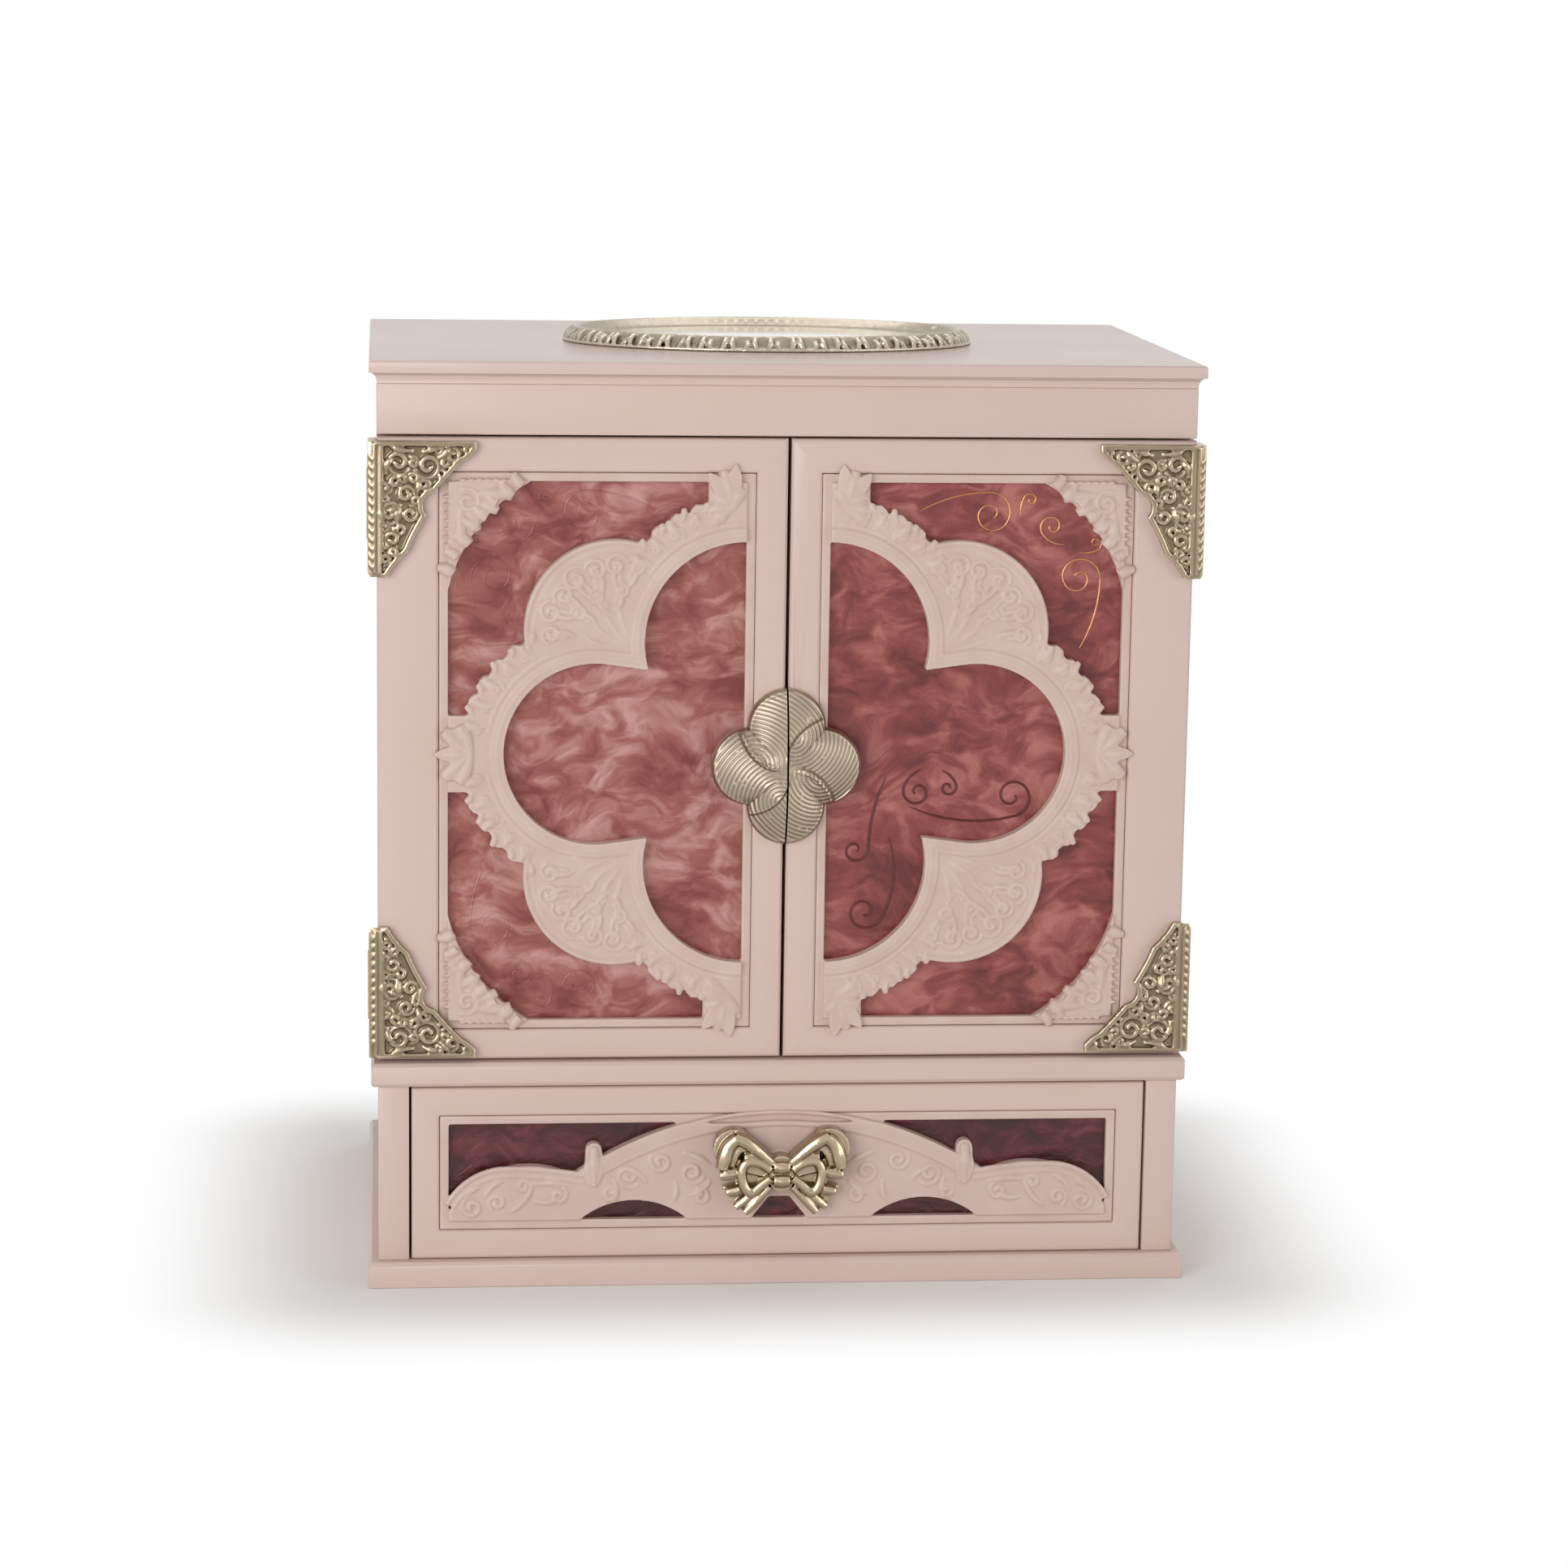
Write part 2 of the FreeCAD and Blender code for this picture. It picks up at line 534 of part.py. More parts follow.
def door_fretwork():
    """Pierced overlay of a door: border, carved ring with cartouches, corners, leaf sprays and a rim."""
    x0 = OPEN_X0 + FRET_CLEARANCE
    x1 = OPEN_X1 - FRET_CLEARANCE
    z0 = OPEN_Z0 + FRET_CLEARANCE
    z1 = OPEN_Z1 - FRET_CLEARANCE
    window = (x0 + FRET_BORDER, x1 - FRET_BORDER, z0 + FRET_BORDER, z1 - FRET_BORDER)
    border_y = FACE_Y + FRET_BORDER_SETBACK
    carving_y = FACE_Y - CARVING_RISE
    rim_y = FACE_Y - RIM_RISE
    leaf_y = FACE_Y - LEAF_RISE
    side_x, side_radius = side_lobe(window)
    shell_x = side_x - CARTOUCHE_SHIFT
    top_z = FRET_Z + LOBE_RISE
    shell_z = FRET_Z + CARTOUCHE_RISE
    ring_radius = LOBE_RADIUS + RING_WIDTH
    side_ring_radius = side_radius + RING_WIDTH

    corner = box(shell_x, window[1], carving_y, PANEL_Y, shell_z, window[3])
    corner = corner.cut(disc(shell_x, shell_z, CORNER_SWEEP, carving_y, PANEL_Y))
    upper = [
        disc(window[0], top_z, ring_radius, carving_y, PANEL_Y),
        disc(shell_x, shell_z, CARTOUCHE_RADIUS, carving_y, PANEL_Y),
        corner,
    ]
    upper += scallops(window[0], top_z, ring_radius, RING_SCALLOP_SPAN, carving_y, PANEL_Y)
    upper += scallops(side_x, FRET_Z, side_ring_radius, SIDE_SCALLOP_SPAN, carving_y, PANEL_Y)
    upper.append(box(window[0], window[0] + LEAF_LENGTH, carving_y, PANEL_Y, top_z, window[3]))
    bridge_x = side_x + side_radius
    bridge = box(bridge_x, window[1], carving_y, PANEL_Y, FRET_Z - LEAF_LENGTH, FRET_Z + LEAF_LENGTH)
    mass = disc(side_x, FRET_Z, side_ring_radius, carving_y, PANEL_Y)
    mass = mass.fuse(upper + [flipped(form, FRET_Z) for form in upper] + [bridge])
    mass = mass.common(box(window[0], window[1], carving_y, PANEL_Y, window[2], window[3]))

    rim = slab(quatrefoil(window, RIM_WIDTH), rim_y, carving_y)
    rim = rim.common(box(window[0], window[1], rim_y, carving_y, window[2], window[3]))
    border = box(x0, x1, border_y, PANEL_Y, z0, z1)
    border = border.cut(box(window[0], window[1], border_y, PANEL_Y, window[2], window[3]))
    leaves = fan(window[1] - LEAF_LENGTH + LEAF_WIDTH, FRET_Z, PALMETTE_HEADINGS, leaf_y, FACE_Y)
    tuft = fan(window[0] + LEAF_WIDTH, window[3] - LEAF_LENGTH / 2, TUFT_HEADINGS, leaf_y, FACE_Y)
    leaves += tuft + [flipped(form, FRET_Z) for form in tuft]
    body = mass.fuse([border, rim] + leaves)
    return body.cut(slab(quatrefoil(window, 0), leaf_y, PANEL_Y)).removeSplitter()


def bracket_plan(width, height):
    """Outline of a corner bracket, from its corner at the origin: lobed along the slope."""
    slope = [Vector(-across * width, 0, -down * height) for across, down in BRACKET_SLOPE]
    corner = Vector(0, 0, 0)
    top = Vector(-width, 0, 0)
    foot = Vector(0, 0, slope[-1].z)
    edges = [line(corner, top), line(top, slope[0])]
    for start in range(0, len(slope) - 1, 2):
        edges.append(Part.Arc(*slope[start:start + 3]).toShape())
    return face_of(edges + [line(slope[-1], foot), line(foot, corner)])


def corner_bracket():
    """Gilt bracket of the upper outer corner: a rimmed face and a flange round the side of the door."""
    front_y = FACE_Y - BRACKET_THICKNESS
    plan = bracket_plan(BRACKET_WIDTH, BRACKET_HEIGHT)
    face = slab(plan, front_y, FACE_Y)
    face = face.cut(slab(plan.makeOffset2D(-BRACKET_RIM), front_y, front_y + BRACKET_SINK))
    reach = BRACKET_SIDE_REACH + BRACKET_THICKNESS
    flange = slab(polygon([(0, 0), (-reach, 0), (0, -BRACKET_HEIGHT)]), 0, BRACKET_THICKNESS)
    flange.rotate(Vector(0, 0, 0), Vector(0, 0, 1), -90)
    flange.translate(Vector(0, front_y, 0))
    whole = face.fuse(flange).removeSplitter()
    whole.translate(Vector(HALF_BODY, 0, DOOR_Z1 - BRACKET_INSET))
    return whole


def knob_half():
    """Right half of the four-lobed knob: a cone with a flat crown, cut to the outline of the lobes."""
    skirt_y = FACE_Y - KNOB_SKIRT
    front_y = skirt_y - KNOB_DOME_HEIGHT
    reach = KNOB_LOBE_OFFSET_Z + KNOB_LOBE_RADIUS
    foot = Vector(0, skirt_y, KNOB_Z)
    slope = Part.makeCone(reach, KNOB_CROWN_RADIUS, KNOB_DOME_HEIGHT, foot, Vector(0, -1, 0))
    dome = disc(0, KNOB_Z, reach, skirt_y, FACE_Y).fuse(slope)
    lobes = []
    for x, z in ((KNOB_LOBE_OFFSET_X, 0), (0, KNOB_LOBE_OFFSET_Z), (0, -KNOB_LOBE_OFFSET_Z)):
        lobes.append(disc(x, KNOB_Z + z, KNOB_LOBE_RADIUS, front_y, FACE_Y))
    half = box(DOOR_X0, reach, front_y, FACE_Y, KNOB_Z - reach, KNOB_Z + reach)
    petals = lobes[0].fuse(lobes[1:]).common(half).common(dome).removeSplitter()
    return petals.cut([screw_thread(x, z, FACE_Y) for x, z in knob_screw_places()])


def hinge_segments(length):
    """Start and end of the three knuckles along a hinge."""
    each = (length - 2 * KNUCKLE_END_GAP) / 3
    return [(step * (each + KNUCKLE_END_GAP), step * (each + KNUCKLE_END_GAP) + each) for step in range(3)]


def door_hinge_leaf(z, y, knuckles):
    """Leaf of a door hinge with its knuckles, its plate starting at y."""
    plate_x1 = HINGE_X - KNUCKLE_RADIUS - KNUCKLE_CLEARANCE
    plate = box(plate_x1 - FLAP_WIDTH, plate_x1, y, y + FLAP_THICKNESS, z, z + HINGE_LENGTH)
    forms = []
    for low, high in knuckles:
        foot = Vector(HINGE_X, HINGE_Y, z + low)
        forms.append(rod(KNUCKLE_RADIUS, foot, Vector(0, 0, high - low), ROD_SIDES))
        forms.append(box(plate_x1, HINGE_X, y, y + FLAP_THICKNESS, z + low, z + high))
    hole = bore(PIN_RADIUS + PIN_CLEARANCE, Vector(HINGE_X, HINGE_Y, z), Vector(0, 0, HINGE_LENGTH))
    return plate.fuse(forms).cut(hole).removeSplitter()


def door_hinge_pieces():
    """Case leaves, door leaves and pins of the two hinges of a door."""
    first, middle, last = hinge_segments(HINGE_LENGTH)
    case_y = HINGE_Y + FLAP_GAP / 2
    door_y = HINGE_Y - FLAP_GAP / 2 - FLAP_THICKNESS
    levels = door_hinge_levels()
    save_pair("{}_hinge_case_leaves", *[door_hinge_leaf(z, case_y, [first, last]) for z in levels])
    save_pair("{}_hinge_door_leaves", *[door_hinge_leaf(z, door_y, [middle]) for z in levels])
    reach = Vector(0, 0, HINGE_LENGTH)
    pins = [rod(PIN_RADIUS, Vector(HINGE_X, HINGE_Y, z), reach, ROD_SIDES) for z in levels]
    save_pair("{}_hinge_pins", *pins)


def lid_hinge_leaf(x, z0, z1, knuckles):
    """Leaf of a lid hinge, flat on the back, from the plate's foot z0 to its top z1."""
    plate = box(x, x + LID_HINGE_LENGTH, BACK_Y, BACK_Y + FLAP_THICKNESS, z0, z1)
    low_z = min(z1, LID_Z)
    high_z = max(z0, LID_Z)
    forms = []
    for start, end in knuckles:
        foot = Vector(x + start, LID_HINGE_Y, LID_Z)
        forms.append(rod(KNUCKLE_RADIUS, foot, Vector(end - start, 0, 0), ROD_SIDES))
        forms.append(box(x + start, x + end, BACK_Y, BACK_Y + FLAP_THICKNESS, low_z, high_z))
    foot = Vector(x, LID_HINGE_Y, LID_Z)
    hole = bore(PIN_RADIUS + PIN_CLEARANCE, foot, Vector(LID_HINGE_LENGTH, 0, 0))
    return plate.fuse(forms).cut(hole).removeSplitter()


def lid_hinge_pieces():
    """Case leaves, lid leaves and pins of the two lid hinges."""
    first, middle, last = hinge_segments(LID_HINGE_LENGTH)
    clear = KNUCKLE_RADIUS + KNUCKLE_CLEARANCE
    x = LID_HINGE_SPACING / 2 - LID_HINGE_LENGTH / 2
    case_leaf = lid_hinge_leaf(x, LID_Z - clear - LID_FLAP_HEIGHT, LID_Z - clear, [first, last])
    lid_leaf = lid_hinge_leaf(x, LID_Z + clear, LID_TOP_Z - LID_FLAP_EDGE, [middle])
    foot = Vector(x, LID_HINGE_Y, LID_Z)
    pin = rod(PIN_RADIUS, foot, Vector(LID_HINGE_LENGTH, 0, 0), ROD_SIDES)
    save("lid_hinge_case_leaves", case_leaf, mirrored(case_leaf))
    save("lid_hinge_lid_leaves", lid_leaf, mirrored(lid_leaf))
    save("lid_hinge_pins", pin, mirrored(pin))


def lid_section(reach, square_reach, turn):
    """Upright section of the lid: a moulded edge at reach, and the same or a square edge at the other end."""
    def place(along, z):
        return Vector(0, along, z) if turn else Vector(along, 0, z)

    cove_z = LID_Z + LID_COVE_HEIGHT
    sign = 1 if reach > 0 else -1
    root = reach - sign * LID_OVERHANG
    step = root + sign * LID_COVE_REACH
    hollow = root + sign * LID_COVE_REACH * (1 - math.sqrt(0.5))
    soft = LID_EDGE_RADIUS * (1 - math.sqrt(0.5))
    hollow_z = LID_Z + LID_COVE_HEIGHT * math.sqrt(0.5)
    moulding = [
        Part.Arc(place(root, LID_Z), place(hollow, hollow_z), place(step, cove_z)).toShape(),
        line(place(step, cove_z), place(reach, cove_z)),
        line(place(reach, cove_z), place(reach, LID_TOP_Z - LID_EDGE_RADIUS)),
        Part.Arc(
            place(reach, LID_TOP_Z - LID_EDGE_RADIUS), place(reach - sign * soft, LID_TOP_Z - soft),
            place(reach - sign * LID_EDGE_RADIUS, LID_TOP_Z),
        ).toShape(),
    ]
    end = reach - sign * LID_EDGE_RADIUS
    rest = [
        line(place(end, LID_TOP_Z), place(square_reach, LID_TOP_Z)),
        line(place(square_reach, LID_TOP_Z), place(square_reach, LID_Z)),
        line(place(square_reach, LID_Z), place(root, LID_Z)),
    ]
    return face_of(moulding + rest)


def lid_board():
    """Lid slab with a cove and a rounded fascia on three edges, square at the hinged back."""
    side_reach = HALF_BODY + LID_OVERHANG
    front_reach = FACE_Y - LID_OVERHANG
    depth = BACK_Y - front_reach
    right = lid_section(side_reach, 0, False)
    right.translate(Vector(0, front_reach, 0))
    right = right.extrude(Vector(0, depth, 0))
    across = right.fuse(mirrored(right))
    front = lid_section(front_reach, BACK_Y, True)
    front.translate(Vector(-side_reach, 0, 0))
    along = front.extrude(Vector(2 * side_reach, 0, 0))
    return across.common(along).removeSplitter()


def oval(inset, y, z):
    """Level four-centred oval of the mirror, drawn in from its outer edge."""
    half_width = MIRROR_WIDTH / 2
    half_depth = MIRROR_DEPTH / 2
    shift = (half_width - half_depth) / (2 - math.sqrt(2))
    end_radius = half_width - shift - inset
    side_radius = half_depth + shift - inset
    edges = []
    for turn, radius in ((0, end_radius), (90, side_radius), (180, end_radius), (270, side_radius)):
        lean = math.radians(turn)
        centre = (shift * math.cos(lean), -shift * math.sin(lean))
        stops = []
        for degrees in (turn - 45, turn, turn + 45):
            angle = math.radians(degrees)
            across = centre[0] + radius * math.cos(angle)
            along = centre[1] + radius * math.sin(angle)
            stops.append(Vector(across, y + along, z))
        edges.append(Part.Arc(*stops).toShape())
    return face_of(edges)


def mirror_frame(y):
    """Oval gilt rim: a slope up to the crest and a slope down to the lip of the well that holds the glass."""
    top_z = LID_TOP_Z + MIRROR_RIM_HEIGHT
    lip_z = LID_TOP_Z + MIRROR_LIP_HEIGHT
    rim = oval_cone(0, LID_TOP_Z, MIRROR_CREST_INSET, top_z, y)
    well = oval(MIRROR_RIM_WIDTH, y, LID_TOP_Z).extrude(Vector(0, 0, MIRROR_LIP_HEIGHT))
    mouth = oval_cone(MIRROR_RIM_WIDTH, lip_z, MIRROR_CREST_INSET, top_z, y)
    return rim.cut(well.fuse(mouth)).removeSplitter()


def oval_cone(low_inset, low_z, high_inset, high_z, y):
    """Solid between two level ovals of the mirror."""
    rings = [oval(low_inset, y, low_z).OuterWire, oval(high_inset, y, high_z).OuterWire]
    return Part.makeLoft(rings, True, True)


def lid_pieces():
    """Lid, the oval mirror on it and the looking glass inside it."""
    save("lid_board", lid_board())
    middle_y = (FACE_Y - LID_OVERHANG + BACK_Y) / 2
    save("mirror_frame", mirror_frame(middle_y))
    glass = oval(MIRROR_RIM_WIDTH + GLASS_CLEARANCE, middle_y, LID_TOP_Z)
    save("mirror_glass", glass.extrude(Vector(0, 0, MIRROR_GLASS_THICKNESS)))
    tray_y = (CASE_FRONT_Y + BACK_PANEL_Y) / 2
    x = INNER_X - LID_GLASS_SIDE_MARGIN
    y = (BACK_PANEL_Y - CASE_FRONT_Y) / 2 - LID_GLASS_END_MARGIN
    save("lid_mirror", box(-x, x, tray_y - y, tray_y + y, LID_Z - LID_GLASS_THICKNESS, LID_Z))
    near = GLASS_CLEARANCE
    far = GLASS_CLEARANCE + LID_BEAD_WIDTH
    z0 = LID_Z - LID_BEAD_HEIGHT
    strips = [
        box(-x - far, x + far, tray_y - y - far, tray_y - y - near, z0, LID_Z),
        box(-x - far, x + far, tray_y + y + near, tray_y + y + far, z0, LID_Z),
        box(x + near, x + far, tray_y - y - near, tray_y + y + near, z0, LID_Z),
        box(-x - far, -x - near, tray_y - y - near, tray_y + y + near, z0, LID_Z),
    ]
    save("lid_mirror_beads", *strips)


def bow_centre():
    """Centre of the bow pull in the XZ plane."""
    return 0.0, POCKET_Z0 + BOW_RISE


def bow_pull():
    """Cast bow: an open loop, a small loop and a forked tail each side of a proud, tapped knot."""
    x, z = bow_centre()
    back_y = FACE_Y - LEAF_RISE
    front_y = back_y - BOW_DEPTH
    end_x = x + BOW_LOOP_REACH
    end_z = z + BOW_LOOP_RISE
    upper = petal(x, z, BOW_ROOT_RADIUS, end_x, end_z, BOW_LOOP_RADIUS)
    heading = math.degrees(math.atan2(BOW_LOOP_RISE, BOW_LOOP_REACH))
    corners = [on_circle(end_x, end_z, BOW_LOOP_RADIUS - BOW_RIBBON, heading + turn) for turn in (90, -90)]
    eye = polygon([((x + end_x) / 2, (z + end_z) / 2)] + [(corner.x, corner.z) for corner in corners])
    lower = petal(x, z, BOW_ROOT_RADIUS, x + BOW_LOWER_REACH, z - BOW_LOWER_DROP, BOW_LOWER_RADIUS)
    tail = polygon([(x + across, z + up) for across, up in BOW_TAIL])
    side = [
        slab(upper.cut(eye), front_y, back_y),
        slab(lower, front_y + BOW_STEP, back_y),
        slab(tail, front_y + 2 * BOW_STEP, back_y),
    ]
    knot = petal(x, z - BOW_KNOT_SPREAD, BOW_KNOT_RADIUS, x, z + BOW_KNOT_SPREAD, BOW_KNOT_RADIUS)
    knot = slab(knot, front_y - BOW_STEP, back_y)
    whole = knot.fuse(side + [mirrored(form) for form in side]).removeSplitter()
    return whole.cut(screw_thread(x, z, back_y))


def drawer_fretwork():
    """Pierced overlay of the drawer: a shallow arch, a wave at each end, finials and small openings."""
    x1 = POCKET_X - FRET_CLEARANCE
    z0 = POCKET_Z0 + FRET_CLEARANCE
    z1 = POCKET_Z1 - FRET_CLEARANCE
    window = (x1 - FRET_BORDER, z0 + FRET_BORDER, z1 - FRET_BORDER)
    border_y = FACE_Y + FRET_BORDER_SETBACK
    carving_y = FACE_Y - CARVING_RISE
    rim_y = FACE_Y - RIM_RISE
    leaf_y = FACE_Y - LEAF_RISE
    arch_z = DRAWER_Z0 + ARCH_APEX - ARCH_RADIUS
    wave_x = window[0] - WAVE_INSET + FRET_BORDER
    wave_z = DRAWER_Z0 + WAVE_TOP - WAVE_RADIUS
    lens_z = window[1] + LENS_RISE - LENS_RADIUS
    finial_z = window[1] + FINIAL_HEIGHT
    inside = box(-window[0], window[0], carving_y, PANEL_Y, window[1], window[2])
    wave = disc(wave_x, wave_z, WAVE_RADIUS, carving_y, PANEL_Y)
    finial = petal(FINIAL_OFFSET, window[1], FINIAL_FOOT_RADIUS, FINIAL_OFFSET, finial_z, FINIAL_RADIUS)
    finial = slab(finial, carving_y, PANEL_Y)
    forms = [wave, mirrored(wave), finial, mirrored(finial)]
    mass = disc(0, arch_z, ARCH_RADIUS, carving_y, PANEL_Y).fuse(forms).common(inside)
    lens = disc(LENS_OFFSET, lens_z, LENS_RADIUS, leaf_y, PANEL_Y)
    heart = polygon([
        (-HEART_HALF_WIDTH, window[1]), (HEART_HALF_WIDTH, window[1]),
        (HEART_TOP_HALF_WIDTH, window[1] + HEART_HEIGHT), (-HEART_TOP_HALF_WIDTH, window[1] + HEART_HEIGHT),
    ])
    above = box(-window[0], window[0], leaf_y, PANEL_Y, window[1], z1)
    holes = [lens.common(above), mirrored(lens).common(above), slab(heart, leaf_y, PANEL_Y)]
    frame = box(-x1, x1, border_y, PANEL_Y, z0, z1)
    frame = frame.cut(box(-window[0], window[0], border_y, PANEL_Y, window[1], window[2]))
    rim = disc(0, arch_z, ARCH_RADIUS, rim_y, carving_y)
    rim = rim.cut(disc(0, arch_z, ARCH_RADIUS - ARCH_RIM_WIDTH, rim_y, carving_y))
    rim = rim.common(box(-FINIAL_OFFSET, FINIAL_OFFSET, rim_y, carving_y, window[1], window[2]))
    x, z = bow_centre()
    boss = disc(x, z, DRAWER_BOSS_RADIUS, leaf_y, carving_y)
    body = mass.fuse([frame, rim, boss]).cut(holes)
    return body.cut(screw_hole(x, z, leaf_y, PANEL_Y)).removeSplitter()


def drawer_pieces():
    """Drawer front with its inlay and pull, and the box behind it."""
    x, z = bow_centre()
    front_back_y = FACE_Y + DRAWER_FRONT_THICKNESS
    front = box(-DRAWER_X, DRAWER_X, FACE_Y, front_back_y, DRAWER_Z0, DRAWER_Z1)
    front = front.cut(box(-POCKET_X, POCKET_X, FACE_Y, PANEL_BACK_Y, POCKET_Z0, POCKET_Z1))
    front = front.makeChamfer(FRAME_EDGE_BEVEL, edges_on(front, y=FACE_Y))
    save("drawer_front", front.cut(screw_hole(x, z, PANEL_BACK_Y, front_back_y)))
    panel_x = POCKET_X - PANEL_CLEARANCE
    panel_z0 = POCKET_Z0 + PANEL_CLEARANCE
    panel = box(-panel_x, panel_x, PANEL_Y, PANEL_BACK_Y, panel_z0, POCKET_Z1 - PANEL_CLEARANCE)
    save("drawer_panel", panel.cut(screw_hole(x, z, PANEL_Y, PANEL_BACK_Y)))
    save("drawer_fretwork", drawer_fretwork())
    save("bow_pull", bow_pull())
    save("bow_pull_screw", screw(x, z, front_back_y, FACE_Y - LEAF_RISE - SCREW_BITE))
    top_z = DRAWER_Z0 + DRAWER_BOX_HEIGHT
    inner_x = DRAWER_X - DRAWER_WALL
    floor_z = DRAWER_Z0 + DRAWER_BOTTOM_THICKNESS
    save_pair("drawer_{}_side", box(inner_x, DRAWER_X, front_back_y, DRAWER_BACK_Y, DRAWER_Z0, top_z))
    save("drawer_back", box(-inner_x, inner_x, DRAWER_BACK_Y - DRAWER_WALL, DRAWER_BACK_Y, DRAWER_Z0, top_z))
    back_y = DRAWER_BACK_Y - DRAWER_WALL
    save("drawer_bottom", box(-inner_x, inner_x, front_back_y, back_y, DRAWER_Z0, floor_z))


os.makedirs("parts", exist_ok=True)
case_pieces()
door_pieces()
save_pair("{}_door_fretwork", door_fretwork())
bracket = corner_bracket()
save_pair("{}_door_corner_brackets", bracket, flipped(bracket, (DOOR_Z0 + DOOR_Z1) / 2))
save_pair("{}_knob_half", knob_half())
door_hinge_pieces()
lid_pieces()
lid_hinge_pieces()
drawer_pieces()
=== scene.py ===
import math

import bmesh
import bpy
from mathutils import Matrix, Vector


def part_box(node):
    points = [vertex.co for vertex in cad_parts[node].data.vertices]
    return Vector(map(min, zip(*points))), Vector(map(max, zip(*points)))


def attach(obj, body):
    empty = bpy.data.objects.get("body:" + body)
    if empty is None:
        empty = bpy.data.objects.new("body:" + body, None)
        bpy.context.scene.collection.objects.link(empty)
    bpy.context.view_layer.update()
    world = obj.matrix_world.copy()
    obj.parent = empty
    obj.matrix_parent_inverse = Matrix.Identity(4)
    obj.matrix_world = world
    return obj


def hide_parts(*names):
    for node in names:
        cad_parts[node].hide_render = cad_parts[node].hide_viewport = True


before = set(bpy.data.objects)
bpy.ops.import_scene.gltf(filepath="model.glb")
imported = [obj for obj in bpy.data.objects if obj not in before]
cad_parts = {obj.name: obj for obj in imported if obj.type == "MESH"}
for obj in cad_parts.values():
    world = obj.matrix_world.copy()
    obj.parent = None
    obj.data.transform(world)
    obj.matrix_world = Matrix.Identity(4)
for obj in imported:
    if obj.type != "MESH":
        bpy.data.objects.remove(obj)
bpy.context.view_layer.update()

# Studio: a floor of matt white paper that fades into a white backdrop, a broad soft lamp at the left, a weaker
# one at the right and one above. The camera stands a little left of the middle and looks slightly down, from
# about a metre and a half.
MM = 0.001
CAMERA_PLACE = Vector((-135.2, -1484.9, 430.4)) * MM
CAMERA_YAW = math.radians(5.53)
CAMERA_PITCH = math.radians(10.37)
CAMERA_ROLL = math.radians(0.87)
CAMERA_LENS = 96.41
CAMERA_SENSOR = 36.0
WHITE = (1, 1, 1, 1)
AMBIENT = 0.38
FLOOR_SIZE = 8.0
FLOOR_GRAIN = 2 * MM
SHADOW_FOOT = (0.141, 0.097, 1.0)
SHADOW_REACH = 0.09
LAMP_AIM = Vector((0, 0, 0.16))
# Name, place in metres, width in metres, power in watts
LAMPS = (
    ("key_lamp", (-1.2, -1.7, 0.45), 1.3, 22.3),
    ("side_lamp", (1.6, -1.2, 0.35), 1.1, 8.2),
    ("top_lamp", (0.1, 0.4, 1.9), 1.4, 7.0),
)


def colour(code):
    """Linear colour of an sRGB hex value."""
    parts = [int(code[start:start + 2], 16) / 255 for start in (1, 3, 5)]
    return tuple(v / 12.92 if v <= 0.04045 else ((v + 0.055) / 1.055) ** 2.4 for v in parts) + (1.0,)


def add(tree, kind, links=None, **settings):
    """Adds a shader node with its settings; a link is a value for a socket or the socket it comes from."""
    made = tree.nodes.new(kind)
    for name, value in settings.items():
        setattr(made, name, value)
    for socket, value in (links or {}).items():
        if isinstance(value, bpy.types.NodeSocket):
            tree.links.new(value, made.inputs[socket])
        else:
            made.inputs[socket].default_value = value
    return made


def new_finish(name):
    """Empty node material."""
    made = bpy.data.materials.new(name)
    made.use_nodes = True
    made.node_tree.nodes.clear()
    return made, made.node_tree


def seen_directly(tree):
    """One for rays that show the background: from the camera, in a reflection or through glass."""
    path = add(tree, "ShaderNodeLightPath").outputs
    shown = add(
        tree, "ShaderNodeMath", {0: path["Is Camera Ray"], 1: path["Is Glossy Ray"]}, operation="MAXIMUM",
    )
    return add(
        tree, "ShaderNodeMath", {0: shown.outputs[0], 1: path["Is Transmission Ray"]}, operation="MAXIMUM",
    )


scene = bpy.context.scene
scene.view_settings.view_transform = "Standard"
forward = Vector((math.sin(CAMERA_YAW), math.cos(CAMERA_YAW), -math.tan(CAMERA_PITCH))).normalized()
level = Vector((math.cos(CAMERA_YAW), -math.sin(CAMERA_YAW), 0))
upright = Matrix((level, level.cross(forward), -forward)).transposed()
turned_camera = upright @ Matrix.Rotation(CAMERA_ROLL, 3, "Z")
camera = bpy.data.objects.new("camera", bpy.data.cameras.new("camera"))
camera.matrix_world = Matrix.Translation(CAMERA_PLACE) @ turned_camera.to_4x4()
camera.data.lens = CAMERA_LENS
camera.data.sensor_width = CAMERA_SENSOR
scene.collection.objects.link(camera)
scene.camera = camera

world = bpy.data.worlds.new("studio")
world.use_nodes = True
tree = world.node_tree
tree.nodes.clear()
strength = add(
    tree, "ShaderNodeMapRange", {"Value": seen_directly(tree).outputs[0], "To Min": AMBIENT, "To Max": 1.0},
)
backdrop = add(tree, "ShaderNodeBackground", {"Color": WHITE, "Strength": strength.outputs[0]})
add(tree, "ShaderNodeOutputWorld", {"Surface": backdrop.outputs[0]})
scene.world = world

